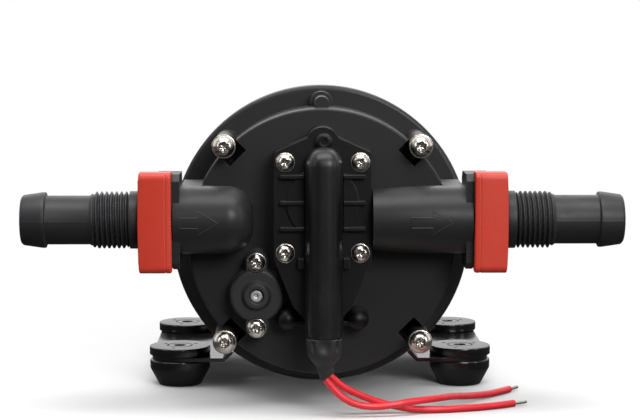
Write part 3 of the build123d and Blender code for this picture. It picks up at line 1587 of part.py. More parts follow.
# Bypass valve
bypass_cover_y = disc_front_y - bypass_pad_height
bypass_top_y = bypass_cover_y - bypass_body_height - bypass_cone_height
adjuster_top_y = bypass_top_y + bypass_well_depth
adjuster_seat_y = bypass_cover_y - bypass_spring_bore_depth
with BuildPart() as bypass_cover:
    with BuildSketch(facing(bypass_cover_y, -bypass_across, -bypass_drop)):
        bypass_outline(0)
    extrude(amount=bypass_ear_height)
    with BuildSketch(facing(bypass_cover_y, -bypass_across, -bypass_drop)):
        Circle(bypass_radius)
    extrude(amount=bypass_body_height)
    fillet(bypass_cover.edges().group_by(Axis.Y)[0], bypass_blend)
    with BuildSketch(facing(bypass_cover_y - bypass_body_height, -bypass_across, -bypass_drop)):
        Circle(bypass_cone_radius)
    with BuildSketch(facing(bypass_top_y, -bypass_across, -bypass_drop)):
        Circle(bypass_cone_top_radius)
    loft()
    with BuildSketch(facing(bypass_top_y, -bypass_across, -bypass_drop)):
        Circle(bypass_well_radius)
    extrude(amount=-bypass_well_depth, mode=Mode.SUBTRACT)
    with BuildSketch(facing(bypass_cover_y, -bypass_across, -bypass_drop)):
        Circle(bypass_spring_bore_radius)
    extrude(amount=bypass_spring_bore_depth, mode=Mode.SUBTRACT)
    with BuildSketch(facing(bypass_cover_y, -bypass_across, -bypass_drop)):
        Circle(adjuster_radius + running_gap)
        with Locations((0, bypass_ear_spacing / 2), (0, -bypass_ear_spacing / 2)):
            Circle(small_screw_radius + soft_gap)
    extrude(amount=bypass_body_height + bypass_cone_height, mode=Mode.SUBTRACT)
    with BuildSketch(facing(bypass_cover_y - bypass_ear_height, -bypass_across, -bypass_drop)):
        with Locations((0, bypass_ear_spacing / 2), (0, -bypass_ear_spacing / 2)):
            Circle(small_screw_head_radius + soft_gap)
    extrude(amount=bypass_body_height, mode=Mode.SUBTRACT)
finish(bypass_cover, "bypass_cover")

bypass_screws = pan_screw(
    facing(bypass_cover_y - bypass_ear_height),
    bypass_screw_places,
    small_screw_radius,
    bypass_ear_height + bypass_pad_height + disc_thickness + small_screw_depth - soft_gap,
    small_screw_head_radius,
    small_screw_head_height,
    False,
)
finish(bypass_screws, "bypass_screws")

with BuildPart() as bypass_adjuster:
    with BuildSketch(facing(adjuster_seat_y, -bypass_across, -bypass_drop)):
        Circle(adjuster_radius)
    extrude(amount=adjuster_seat_y - adjuster_top_y)
    with BuildSketch(facing(adjuster_seat_y, -bypass_across, -bypass_drop)):
        Circle(adjuster_seat_radius)
    extrude(amount=-adjuster_seat_height)
    with BuildSketch(facing(adjuster_top_y, -bypass_across, -bypass_drop)):
        RegularPolygon(adjuster_socket_width / 2, 6)
    extrude(amount=-adjuster_socket_depth, mode=Mode.SUBTRACT)
finish(bypass_adjuster, "bypass_adjuster")

poppet_back_y = disc_front_y - nozzle_height
poppet_front_y = poppet_back_y - poppet_thickness
adjuster_back_y = adjuster_seat_y + adjuster_seat_height
with BuildPart() as bypass_poppet:
    with BuildSketch(facing(poppet_back_y, -bypass_across, -bypass_drop)):
        Circle(poppet_radius)
    extrude(amount=poppet_thickness)
    with BuildSketch(facing(poppet_front_y, -bypass_across, -bypass_drop)):
        Circle(poppet_stem_radius)
    extrude(amount=poppet_front_y - adjuster_back_y - poppet_travel - soft_gap)
finish(bypass_poppet, "bypass_poppet")

bypass_spring = coil(
    facing(poppet_front_y, -bypass_across, -bypass_drop),
    bypass_spring_radius,
    bypass_spring_wire,
    poppet_front_y - adjuster_back_y,
    bypass_spring_turns,
)
finish(bypass_spring, "bypass_spring")

# Base plate: two wings for the feet, slopes and a saddle that follows the motor can
saddle_radius = motor_radius + running_gap
saddle_half_width = saddle_radius * sin(radians(saddle_half_angle))
saddle_edge_height = axis_height - saddle_radius * cos(radians(saddle_half_angle))
wing_outer = foot_across + wing_margin
with BuildPart() as base_plate:
    with BuildSketch(Plane(origin=(0, 0, 0), x_dir=(1, 0, 0), z_dir=(0, -1, 0))):
        with BuildLine():
            Line((wing_outer, wing_top_height), (wing_inner, wing_top_height))
            Line((wing_inner, wing_top_height), (saddle_half_width, saddle_edge_height))
            ThreePointArc(
                (saddle_half_width, saddle_edge_height),
                (0, axis_height - saddle_radius),
                (-saddle_half_width, saddle_edge_height),
            )
            Line((-saddle_half_width, saddle_edge_height), (-wing_inner, wing_top_height))
            Line((-wing_inner, wing_top_height), (-wing_outer, wing_top_height))
            offset(amount=plate_thickness, side=Side.LEFT)
        make_face()
    extrude(amount=plate_back_y, both=True)
    fillet(base_plate.edges().filter_by(Axis.Z), wing_margin)
    with BuildSketch(facing(motor_front_y)):
        Circle(flange_radius + plate_clearance)
    extrude(amount=plate_back_y, mode=Mode.SUBTRACT)
    with BuildSketch(Plane.XY):
        with GridLocations(2 * foot_across, 2 * foot_along, 2, 2):
            Circle(foot_groove_radius + soft_gap)
    extrude(amount=wing_top_height + overrun, mode=Mode.SUBTRACT)
    for station in saddle_screw_stations:
        with BuildSketch(Plane(origin=(0, station, axis_height - motor_radius), z_dir=(0, 0, 1))):
            Circle(saddle_screw_radius + soft_gap)
        extrude(amount=2 * plate_thickness, both=True, mode=Mode.SUBTRACT)
finish(base_plate, "base_plate")

saddle_screw_top = axis_height - motor_radius + motor_wall + saddle_screw_grip
saddle_screw_low = axis_height - saddle_radius - plate_thickness
with BuildPart() as base_screws:
    for station in saddle_screw_stations:
        with BuildSketch(Plane(origin=(0, station, saddle_screw_low), z_dir=(0, 0, 1))):
            Circle(saddle_screw_radius - running_gap)
        extrude(amount=saddle_screw_top - saddle_screw_low)
        with BuildSketch(Plane(origin=(0, station, saddle_screw_low), z_dir=(0, 0, 1))):
            RegularPolygon(saddle_screw_head_radius, 6)
        extrude(amount=-saddle_screw_head_height)
finish(base_screws, "base_screws")

# Rubber feet
foot_groove_low = foot_height - foot_top_height - foot_groove_height
foot_rim_low = foot_groove_low - foot_rim_height
with BuildPart() as rubber_feet:
    for across in (-foot_across, foot_across):
        for along in (-foot_along, foot_along):
            with BuildSketch(Plane(origin=(across, along, 0), x_dir=(1, 0, 0), z_dir=(0, -1, 0))):
                with BuildLine():
                    Polyline(
                        (foot_hole_radius, 0),
                        (foot_base_radius, 0),
                        (foot_rim_radius, foot_rim_low),
                        (foot_rim_radius, foot_groove_low),
                        (foot_groove_radius, foot_groove_low),
                        (foot_groove_radius, foot_groove_low + foot_groove_height),
                        (foot_top_radius, foot_groove_low + foot_groove_height),
                        (foot_top_radius, foot_height - foot_edge_round),
                        (foot_top_radius - foot_edge_round, foot_height),
                        (foot_recess_radius, foot_height),
                        (foot_recess_radius, foot_height - foot_recess_depth),
                        (foot_hole_radius, foot_height - foot_recess_depth),
                        close=True,
                    )
                make_face()
            revolve(axis=Axis((across, along, 0), (0, 0, 1)))
finish(rubber_feet, "rubber_feet")
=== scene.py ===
"""Looks of a twelve volt diaphragm water pump for a caravan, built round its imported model.

The pump stands on four rubber feet and is seen from its head. Sizes are in millimetres and become metres
where a mesh is made. +X points to the outlet, +Y from the head to the motor and +Z up, and the origin is
on the floor in the middle of the four feet.
"""

import logging
import math
from dataclasses import dataclass, replace
from enum import Enum
from functools import cache

import bmesh
import bpy
import numpy as np
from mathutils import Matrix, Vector

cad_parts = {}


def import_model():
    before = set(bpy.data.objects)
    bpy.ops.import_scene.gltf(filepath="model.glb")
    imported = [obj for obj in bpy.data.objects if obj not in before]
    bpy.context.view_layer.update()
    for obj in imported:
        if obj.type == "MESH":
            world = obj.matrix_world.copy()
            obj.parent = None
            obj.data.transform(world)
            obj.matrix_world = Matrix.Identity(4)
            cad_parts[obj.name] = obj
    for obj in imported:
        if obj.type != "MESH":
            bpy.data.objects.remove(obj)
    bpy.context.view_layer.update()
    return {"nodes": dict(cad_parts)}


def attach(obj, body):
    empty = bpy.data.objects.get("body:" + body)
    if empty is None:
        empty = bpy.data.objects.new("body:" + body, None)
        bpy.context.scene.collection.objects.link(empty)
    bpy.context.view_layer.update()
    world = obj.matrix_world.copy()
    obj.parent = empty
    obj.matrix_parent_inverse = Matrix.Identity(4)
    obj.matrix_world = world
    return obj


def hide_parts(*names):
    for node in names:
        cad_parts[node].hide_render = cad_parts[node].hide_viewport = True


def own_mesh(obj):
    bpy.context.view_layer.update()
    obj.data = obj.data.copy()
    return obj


LOG = logging.getLogger("water_pump")
MM = 0.001
AXIS_HEIGHT = 62.3  # Middle of the head and the motor over the floor
PORT_Y = -91.0
PORT_HEIGHT = 71.9
TURN = 2 * math.pi
SIDES = 96  # Points round a turned shape

Point = tuple[float, float, float]
Colour = tuple[float, float, float]
Tree = bpy.types.NodeTree
Node = bpy.types.Node
Socket = bpy.types.NodeSocket
Piece = bpy.types.Object

RIGHT: Point = (1.0, 0.0, 0.0)
FRONT: Point = (0.0, -1.0, 0.0)
BACK: Point = (0.0, 1.0, 0.0)
UP: Point = (0.0, 0.0, 1.0)


class Slot(str, Enum):
    """Material slots of the record that the pieces take their finish from."""

    HEAD = "head_plastic"
    SWITCH = "switch_plastic"
    FITTING = "fitting_plastic"
    HOUSING = "housing_metal"
    CAN = "can_metal"
    PLATE = "plate_metal"
    CLIP = "clip_plastic"
    BOOT = "boot_rubber"
    FOOT = "foot_rubber"
    SEAL = "seal_rubber"
    LEAD = "lead_red"
    TIP = "tinned_copper"
    SCREW = "screw_steel"
    SPRING = "spring_steel"
    BEARING = "bearing_steel"
    SHAFT = "shaft_steel"
    LAMINATION = "lamination_steel"
    MAGNET = "magnet_ferrite"
    WINDING = "winding_copper"
    CONTACT = "contact_brass"
    HUB = "hub_aluminium"
    INNER = "inner_plastic"
    CARBON = "brush_carbon"
    MICROSWITCH = "microswitch_plastic"


class Relief(Enum):
    """Kinds of fine relief that a finish can have."""

    MOULDED = "moulded"
    RUBBER = "rubber"
    CAST = "cast"
    TURNED = "turned"
    BANDED = "banded"
    STRETCHED = "stretched"


def put(name: str, data: bpy.types.ID, spot: Point = (0.0, 0.0, 0.0), way: Vector | None = None) -> Piece:
    """Add an object to the scene.

    Args:
        name: Name of the object.
        data: Mesh, curve, lamp or camera that it shows.
        spot: Where it is, in metres.
        way: Direction that a lamp or camera looks in, or None.

    Returns:
        The object.
    """
    made = bpy.data.objects.new(name, data)
    made.location = spot
    if way is not None:
        made.rotation_mode = "QUATERNION"
        made.rotation_quaternion = way.to_track_quat("-Z", "Y")
    bpy.context.scene.collection.objects.link(made)
    return made


# Shared shader groups


def new_group(name: str, inputs: dict[str, float], outputs: dict[str, str]) -> Tree:
    """Start a shader node group with number inputs and typed outputs.

    Args:
        name: Name of the group.
        inputs: Starting values of its number inputs by name.
        outputs: Kinds of its outputs by name, "Float" or "Vector".

    Returns:
        The group with its input and output nodes, named "in" and "out".
    """
    group = bpy.data.node_groups.new(name, "ShaderNodeTree")
    for label, value in inputs.items():
        socket = group.interface.new_socket(label, in_out="INPUT", socket_type="NodeSocketFloat")
        socket.default_value = value
    for label, kind in outputs.items():
        group.interface.new_socket(label, in_out="OUTPUT", socket_type="NodeSocket" + kind)
    group.nodes.new("NodeGroupInput").name = "in"
    group.nodes.new("NodeGroupOutput").name = "out"
    return group


def feed(tree: Tree, node: Node, **values: object) -> Node:
    """Set a node's properties, and feed its inputs with values or with the outputs of other nodes.

    Args:
        tree: Tree that holds the node.
        node: The node.
        values: Values and sockets by name; a name that is no property is an input, with _ for a space.

    Returns:
        The node.
    """
    for name, value in values.items():
        if hasattr(node, name):
            setattr(node, name, value)
        elif isinstance(value, Socket):
            tree.links.new(value, node.inputs[name.replace("_", " ")])
        else:
            node.inputs[name.replace("_", " ")].default_value = value
    return node


def add_node(tree: Tree, kind: str, **values: object) -> Node:
    """Add a node of a kind, named as in Blender after "ShaderNode", and feed it."""
    return feed(tree, tree.nodes.new("ShaderNode" + kind), **values)


def maths(tree: Tree, operation: str, *terms: float | Socket) -> Socket:
    """Join a maths node to numbers or sockets.

    Args:
        tree: Tree that takes the node.
        operation: Name of the operation.
        terms: Up to three numbers or sockets, in the order of the node's inputs.

    Returns:
        The value that comes out.
    """
    node = add_node(tree, "Math", operation=operation)
    for term, entry in zip(terms, node.inputs):
        if isinstance(term, Socket):
            tree.links.new(term, entry)
        else:
            entry.default_value = term
    return node.outputs[0]


def place(tree: Tree) -> Socket:
    """Object coordinates of the piece, which are its metres in the pump's frame."""
    return add_node(tree, "TexCoord").outputs["Object"]


def noise(tree: Tree, vector: Socket, size: float | Socket, detail: float) -> Socket:
    """Noise from 0 to 1 over the surface.

    Args:
        tree: Tree that takes the nodes.
        vector: Coordinates that the noise is read at, in metres.
        size: Size of one blob in millimetres, a number or a socket.
        detail: Octaves of finer noise on it.

    Returns:
        The noise value.
    """
    scale = maths(tree, "DIVIDE", 1 / MM, size)
    return add_node(tree, "TexNoise", Vector=vector, Scale=scale, Detail=detail, Roughness=0.6).outputs["Fac"]


def between(tree: Tree, value: Socket, low: float, high: float) -> Socket:
    """Smooth step of a value from 0 at low to 1 at high."""
    step = add_node(
        tree, "MapRange", interpolation_type="SMOOTHSTEP", Value=value, From_Min=low, From_Max=high
    )
    return step.outputs["Result"]


def edge_group() -> Tree:
    """Group that rounds the light on edges: a bevelled normal, and a mask of how far it turns from the face,
    which places the painted edge highlights.

    Returns:
        The group, with input Radius in millimetres and outputs Normal and Edge.
    """
    group = new_group("edge_catch", {"Radius": 0.3}, {"Normal": "Vector", "Edge": "Float"})
    radius = maths(group, "MULTIPLY", group.nodes["in"].outputs["Radius"], MM)
    bevel = add_node(group, "Bevel", samples=6, Radius=radius).outputs["Normal"]
    turn = add_node(group, "VectorMath", operation="DOT_PRODUCT")
    group.links.new(bevel, turn.inputs[0])
    group.links.new(add_node(group, "NewGeometry").outputs["Normal"], turn.inputs[1])
    edge = between(group, maths(group, "SUBTRACT", 1.0, turn.outputs["Value"]), 0.02, 0.22)
    feed(group, group.nodes["out"], Normal=bevel, Edge=edge)
    return group


def smudge_group() -> Tree:
    """Group of soft marks left by handling: broad noise thinned by finer noise.

    Returns:
        The group, with input Size in millimetres and output Mask.
    """
    group = new_group("smudge", {"Size": 14.0}, {"Mask": "Float"})
    size = group.nodes["in"].outputs["Size"]
    broad = between(group, noise(group, place(group), size, 3.0), 0.38, 0.72)
    fine = between(group, noise(group, place(group), maths(group, "MULTIPLY", size, 0.18), 4.0), 0.3, 0.75)
    feed(group, group.nodes["out"], Mask=maths(group, "MULTIPLY", broad, fine))
    return group


def dust_group() -> Tree:
    """Group of dust: sparse specks everywhere and a thin film where a face looks up.

    Returns:
        The group, with output Mask.
    """
    group = new_group("dust", {}, {"Mask": "Float"})
    where = place(group)
    cells = add_node(group, "TexVoronoi", Vector=where, Scale=420.0, Randomness=1.0)
    near = maths(group, "SUBTRACT", 1.0, between(group, cells.outputs["Distance"], 0.03, 0.1))
    thin = between(group, noise(group, where, 5.0, 2.0), 0.52, 0.72)
    specks = maths(group, "MULTIPLY", maths(group, "MULTIPLY", near, thin), 0.55)
    split = add_node(group, "SeparateXYZ", Vector=add_node(group, "NewGeometry").outputs["Normal"])
    up = between(group, split.outputs["Z"], 0.55, 1.0)
    film = maths(group, "MULTIPLY", up, between(group, noise(group, where, 9.0, 5.0), 0.3, 0.8))
    mask = maths(group, "MAXIMUM", specks, maths(group, "MULTIPLY", film, 0.35))
    feed(group, group.nodes["out"], Mask=mask)
    return group


def relief_group(relief: Relief) -> Tree:
    """Group with the height of one kind of fine relief.

    Args:
        relief: Which relief it holds.

    Returns:
        The group, with input Size in millimetres and output Height.
    """
    group = new_group("relief_" + relief.value, {"Size": 0.3}, {"Height": "Float"})
    size = group.nodes["in"].outputs["Size"]
    where = place(group)
    if relief in (Relief.MOULDED, Relief.RUBBER):
        moulded = relief is Relief.MOULDED
        detail, wide, soft, share = (2.0, 22.0, 2.0, 1.6) if moulded else (5.0, 14.0, 3.0, 2.4)
        wave = noise(group, where, maths(group, "MULTIPLY", size, wide), soft)
        height = maths(group, "MULTIPLY_ADD", wave, share, noise(group, where, size, detail))
    elif relief is Relief.CAST:
        scale = maths(group, "DIVIDE", 1 / MM, size)
        lumps = add_node(group, "TexVoronoi", feature="SMOOTH_F1", Vector=where, Scale=scale)
        height = maths(group, "MULTIPLY_ADD", noise(group, where, size, 5.0), 0.8, lumps.outputs["Distance"])
    elif relief is Relief.STRETCHED:
        drawn = add_node(group, "Mapping", Vector=where, Scale=(1.0, 0.04, 1.0)).outputs["Vector"]
        height = noise(group, drawn, size, 4.0)
    else:
        bands = relief is Relief.BANDED
        middle = (0.0, 0.0, 0.0 if bands else -AXIS_HEIGHT * MM)
        wave = add_node(
            group,
            "TexWave",
            wave_type="BANDS" if bands else "RINGS",
            bands_direction="Y",
            rings_direction="Y",
            Distortion=0.4,
            Vector=add_node(group, "Mapping", Vector=where, Location=middle).outputs["Vector"],
            Scale=maths(group, "DIVIDE", 0.16 / MM, size),
        )
        height = maths(group, "MULTIPLY_ADD", noise(group, where, size, 3.0), 0.3, wave.outputs["Fac"])
    feed(group, group.nodes["out"], Height=height)
    return group


@cache
def shared_group(name: str) -> Tree:
    """Give a shared group, which is made when it is first asked for.

    Args:
        name: "edge", "smudge", "dust" or the value of a Relief.

    Returns:
        The group.
    """
    makers = {"edge": edge_group, "smudge": smudge_group, "dust": dust_group}
    return makers[name]() if name in makers else relief_group(Relief(name))


def use_group(tree: Tree, name: str, **values: float) -> bpy.types.bpy_prop_collection:
    """Put a shared group into a material with its own input values, and give its outputs."""
    return add_node(tree, "Group", node_tree=shared_group(name), **values).outputs


@dataclass(frozen=True)
class Finish:
    """One material: colour, gloss, fine relief, painted highlights on edges, painted shade in recesses,
    smudges and dust.

    Grain is the relief's size, and depth its height, in millimetres, as the edges' radius is.
    """

    slot: Slot
    colour: Colour
    roughness: float
    relief: Relief
    grain: float = 0.3
    depth: float = 0.012
    metallic: float = 0.0
    edge_radius: float = 0.35
    # Painted highlight on rounded edges: the colour mixed in where the bevelled normal turns, and how much of
    # it
    edge_highlight_colour: Colour = (0.09, 0.09, 0.092)
    edge_highlight_share: float = 0.35
    shade: Colour | None = None
    shade_size: float = 14.0
    rough_spread: float = 0.12
    dust_share: float = 0.5
    dust_colour: Colour = (0.2, 0.2, 0.2)
    coat: float = 0.0
    specular: float = 0.5
    use: str = "finish"

    def build(self) -> bpy.types.Material:
        """Make the material once, under a name that no loaded material has, and give it again after that.

        Returns:
            The material.
        """
        name = f"{self.slot.value}_{self.use}"
        if name in bpy.data.materials:
            return bpy.data.materials[name]
        material = bpy.data.materials.new(name)
        material.use_nodes = True
        tree = material.node_tree
        edge = use_group(tree, "edge", Radius=self.edge_radius)
        smudge = use_group(tree, "smudge", Size=self.shade_size)["Mask"]
        relief = use_group(tree, self.relief.value, Size=self.grain)["Height"]
        dust = maths(tree, "MULTIPLY", use_group(tree, "dust")["Mask"], self.dust_share)
        # Painted highlight: a lighter colour mixed in on edges, where rounded edges would catch the lamps
        painted_edge_highlight = maths(tree, "MULTIPLY", edge["Edge"], self.edge_highlight_share)
        # Painted shade in recesses: a point attribute darkens the colour to 0.12 of itself there
        recess_shade = add_node(tree, "Attribute", attribute_name="recess_shade").outputs["Fac"]
        colour = self.blend(tree, smudge, self.colour, self.shade or self.dimmed(0.72))
        colour = self.blend(tree, painted_edge_highlight, colour, self.edge_highlight_colour)
        colour = self.blend(tree, dust, colour, self.dust_colour)
        rough = maths(tree, "MULTIPLY_ADD", smudge, self.rough_spread, self.roughness)
        bump = add_node(
            tree, "Bump", Strength=1.0, Distance=self.depth * MM, Height=relief, Normal=edge["Normal"]
        )
        feed(
            tree,
            tree.nodes["Principled BSDF"],
            # The painted shade of recesses is mixed in last
            Base_Color=self.blend(tree, recess_shade, colour, self.dimmed(0.12)),
            Metallic=self.metallic,
            Roughness=maths(tree, "MULTIPLY_ADD", dust, 0.5, rough),
            Specular_IOR_Level=self.specular,
            Coat_Weight=self.coat,
            Coat_Roughness=0.25,
            Normal=bump.outputs["Normal"],
        )
        return material

    def dimmed(self, share: float) -> Colour:
        """Give a share of the finish's own colour."""
        return tuple(share * part for part in self.colour)

    @staticmethod
    def blend(tree: Tree, share: Socket, first: Colour | Socket, second: Colour) -> Socket:
        """Mix two colours by a share.

        Args:
            tree: Tree that takes the node.
            share: 0 for the first colour, 1 for the second.
            first: A colour or a colour socket.
            second: A colour.

        Returns:
            The mixed colour.
        """
        mix = add_node(tree, "Mix", data_type="RGBA", Factor=share)
        if isinstance(first, tuple):
            mix.inputs[6].default_value = (*first, 1.0)
        else:
            tree.links.new(first, mix.inputs[6])
        mix.inputs[7].default_value = (*second, 1.0)
        return mix.outputs[2]


# Metals get a near-white painted highlight on their edges
METAL = {"metallic": 1.0, "edge_highlight_colour": (0.9, 0.88, 0.85)}
FINISHES: dict[Slot, Finish] = {
    finish.slot: finish
    for finish in (
        Finish(
            Slot.HEAD, (0.023, 0.023, 0.0236), 0.36, Relief.MOULDED, 0.28, 0.010,
            edge_highlight_share=0.7, specular=0.28,
        ),
        Finish(
            Slot.SWITCH, (0.003, 0.003, 0.0034), 0.4, Relief.MOULDED, 0.25, 0.010,
            edge_highlight_share=0.5, specular=0.3,
        ),
        Finish(
            Slot.FITTING, (0.021, 0.021, 0.023), 0.44, Relief.MOULDED, 0.35, 0.014,
            edge_highlight_share=0.9, specular=0.4,
        ),
        Finish(Slot.HOUSING, (0.016, 0.016, 0.017), 0.4, Relief.CAST, 0.9, 0.03, coat=0.2),
        Finish(Slot.CAN, (0.013, 0.013, 0.014), 0.3, Relief.STRETCHED, 0.8, 0.010, coat=0.3),
        Finish(
            Slot.PLATE, (0.006, 0.006, 0.0065), 0.1, Relief.CAST, 0.8, 0.0015,
            rough_spread=0.06, dust_share=0.15, specular=0.8,
        ),
        Finish(
            Slot.CLIP, (0.62, 0.05, 0.027), 0.38, Relief.MOULDED, 0.4, 0.014,
            edge_highlight_colour=(0.78, 0.18, 0.13), edge_highlight_share=0.6, shade=(0.64, 0.028, 0.01), shade_size=9.0,
            dust_colour=(0.6, 0.3, 0.28), dust_share=0.2,
        ),
        Finish(
            Slot.BOOT, (0.0045, 0.0045, 0.005), 0.34, Relief.RUBBER, 0.4, 0.012,
            edge_highlight_share=0.5, rough_spread=0.18,
        ),
        Finish(
            Slot.FOOT, (0.0045, 0.0045, 0.005), 0.18, Relief.RUBBER, 0.5, 0.0018,
            edge_highlight_share=0.3, rough_spread=0.06, specular=0.7,
        ),
        Finish(Slot.SEAL, (0.03, 0.03, 0.03), 0.6, Relief.RUBBER, 0.4, 0.01),
        Finish(
            Slot.LEAD, (0.8, 0.026, 0.04), 0.3, Relief.RUBBER, 0.5, 0.008,
            edge_radius=0.1, edge_highlight_share=0.0, shade=(0.66, 0.018, 0.03),
            dust_share=0.1, dust_colour=(0.7, 0.4, 0.4),
        ),
        Finish(Slot.TIP, (0.72, 0.7, 0.66), 0.3, Relief.STRETCHED, 0.2, 0.01, **METAL),
        Finish(
            Slot.SCREW, (0.8, 0.75, 0.69), 0.22, Relief.MOULDED, 0.6, 0.0004, **METAL,
            edge_radius=0.1, shade=(0.62, 0.55, 0.47), shade_size=5.0, rough_spread=0.05, dust_share=0.05,
        ),
        Finish(Slot.SPRING, (0.62, 0.61, 0.59), 0.25, Relief.STRETCHED, 0.3, 0.006, **METAL),
        Finish(Slot.BEARING, (0.68, 0.68, 0.68), 0.16, Relief.TURNED, 0.4, 0.003, **METAL),
        Finish(Slot.SHAFT, (0.6, 0.6, 0.6), 0.24, Relief.BANDED, 0.3, 0.005, **METAL),
        Finish(Slot.LAMINATION, (0.35, 0.35, 0.36), 0.4, Relief.BANDED, 0.5, 0.05, **METAL),
        Finish(Slot.MAGNET, (0.08, 0.08, 0.085), 0.6, Relief.CAST, 0.6, 0.02),
        Finish(
            Slot.WINDING, (0.62, 0.25, 0.1), 0.3, Relief.BANDED, 0.6, 0.15, 0.9,
            edge_highlight_colour=(0.8, 0.4, 0.2), coat=0.5,
        ),
        Finish(
            Slot.CONTACT, (0.75, 0.58, 0.28), 0.26, Relief.STRETCHED, 0.4, 0.006, 1.0,
            edge_highlight_colour=(0.9, 0.75, 0.4),
        ),
        Finish(Slot.HUB, (0.7, 0.7, 0.71), 0.3, Relief.TURNED, 0.5, 0.008, **METAL),
        Finish(
            Slot.INNER, (0.62, 0.6, 0.54), 0.45, Relief.MOULDED, 0.4, 0.012,
            edge_highlight_colour=(0.75, 0.73, 0.68),
        ),
        Finish(Slot.CARBON, (0.06, 0.06, 0.06), 0.7, Relief.CAST, 0.4, 0.02),
        Finish(Slot.MICROSWITCH, (0.05, 0.05, 0.05), 0.25, Relief.MOULDED, 0.3, 0.008),
    )
}

ADJUSTER_FINISH = replace(FINISHES[Slot.SPRING], colour=(0.85, 0.84, 0.82), roughness=0.42, use="adjuster")
COVER_FINISH = replace(
    FINISHES[Slot.SWITCH], colour=(0.03, 0.03, 0.0305), roughness=0.45, specular=0.4, use="cover"
)
CAP_FINISH = replace(FINISHES[Slot.BOOT], colour=(0.018, 0.018, 0.019), roughness=0.5, use="cap")


# Surfaces worked out as whole arrays


def ring(count: int, start: float = 0.0, span: float = TURN) -> np.ndarray:
    """Angles evenly round a circle, without the last one that would repeat the first."""
    return start + span * np.arange(count) / count


def unit(vectors: np.ndarray) -> np.ndarray:
    """Scale a vector, or each row of vectors, to length 1."""
    return vectors / np.linalg.norm(vectors, axis=-1, keepdims=True)


def signed_power(values: np.ndarray, power: float | np.ndarray) -> np.ndarray:
    """Raise the size of values to 2 / power and keep their signs, as the outline of a superellipse asks."""
    return np.sign(values) * np.abs(values) ** (2 / power)


def spread(outline: np.ndarray, count: int, corners: bool = False) -> np.ndarray:
    """Put points evenly along an outline by length.

    Args:
        outline: Rows of two coordinates.
        count: How many points.
        corners: Whether the outline's own corners stay among them.

    Returns:
        The points as rows.
    """
    steps = np.r_[0, np.cumsum(np.linalg.norm(np.diff(outline, axis=0), axis=1))]
    at = np.linspace(0, steps[-1], count)
    if corners:
        at = np.unique(np.r_[steps, at])
    return np.column_stack([np.interp(at, steps, outline[:, 0]), np.interp(at, steps, outline[:, 1])])


def rounded(points: np.ndarray, radius: float, steps: int = 4) -> np.ndarray:
    """Round the corners of an open outline.

    Each corner P between cut points A and B becomes (1-t)(1-t)A + 2t(1-t)P + ttB, with A and B a radius, or
    at most 0.45 of the side, away from P.

    Args:
        points: Outline as rows of coordinates.
        radius: Largest distance from a corner at which the rounding starts.
        steps: Points that each corner becomes, less one.

    Returns:
        The rounded outline, with its two ends kept.
    """
    sides = np.diff(points, axis=0)
    lengths = np.linalg.norm(sides, axis=1)[:, None]
    ways = sides / lengths
    cuts = np.minimum(radius, 0.45 * lengths)
    first = (points[1:-1] - ways[:-1] * cuts[:-1])[:, None]
    last = (points[1:-1] + ways[1:] * cuts[1:])[:, None]
    share = np.linspace(0, 1, steps + 1)[None, :, None]
    corners = (1 - share) ** 2 * first + 2 * share * (1 - share) * points[1:-1, None] + share**2 * last
    return np.vstack([points[:1], corners.reshape(-1, points.shape[1]), points[-1:]])


def turned(
    profile: np.ndarray, origin: Point, axis: Point, start: Point, radii: np.ndarray | None = None
) -> np.ndarray:
    """Surface of revolution on a grid of profile points and angles.

    A point is origin + along * axis + radius * (cos(angle) * start + sin(angle) * (axis x start)).

    Args:
        profile: Rows of distance along the axis and radius.
        origin: Where the axis starts.
        axis: Direction of the axis, of length 1.
        start: Direction of angle 0, of length 1.
        radii: Radius for each profile point and angle, or None for the profile's own radius all round.

    Returns:
        Points in millimetres, profile by angle by 3.
    """
    if radii is None:
        radii = np.repeat(profile[:, 1:2], SIDES, axis=1)
    angles = ring(radii.shape[1])
    axis_way, start_way = np.array(axis, float), np.array(start, float)
    across_way = np.cross(axis_way, start_way)
    round_way = np.cos(angles)[:, None] * start_way + np.sin(angles)[:, None] * across_way
    return np.array(origin) + profile[:, :1, None] * axis_way + radii[:, :, None] * round_way[None]


def tube(path: np.ndarray, radius: float, sides: int, up: Point) -> np.ndarray:
    """Round tube along a path whose direction is never that of up.

    A point is path + radius * (cos(angle) * side + sin(angle) * (tangent x side)), with side = tangent x up.

    Args:
        path: Points of the middle line.
        radius: Radius of the tube.
        sides: Points round it.
        up: Any direction that the path never takes.

    Returns:
        Points, path by angle by 3.
    """
    tangents = unit(np.gradient(path, axis=0))
    side = unit(np.cross(tangents, np.array(up, float)))
    other = np.cross(tangents, side)
    angles = ring(sides)[None, :, None]
    return path[:, None] + radius * (np.cos(angles) * side[:, None] + np.sin(angles) * other[:, None])


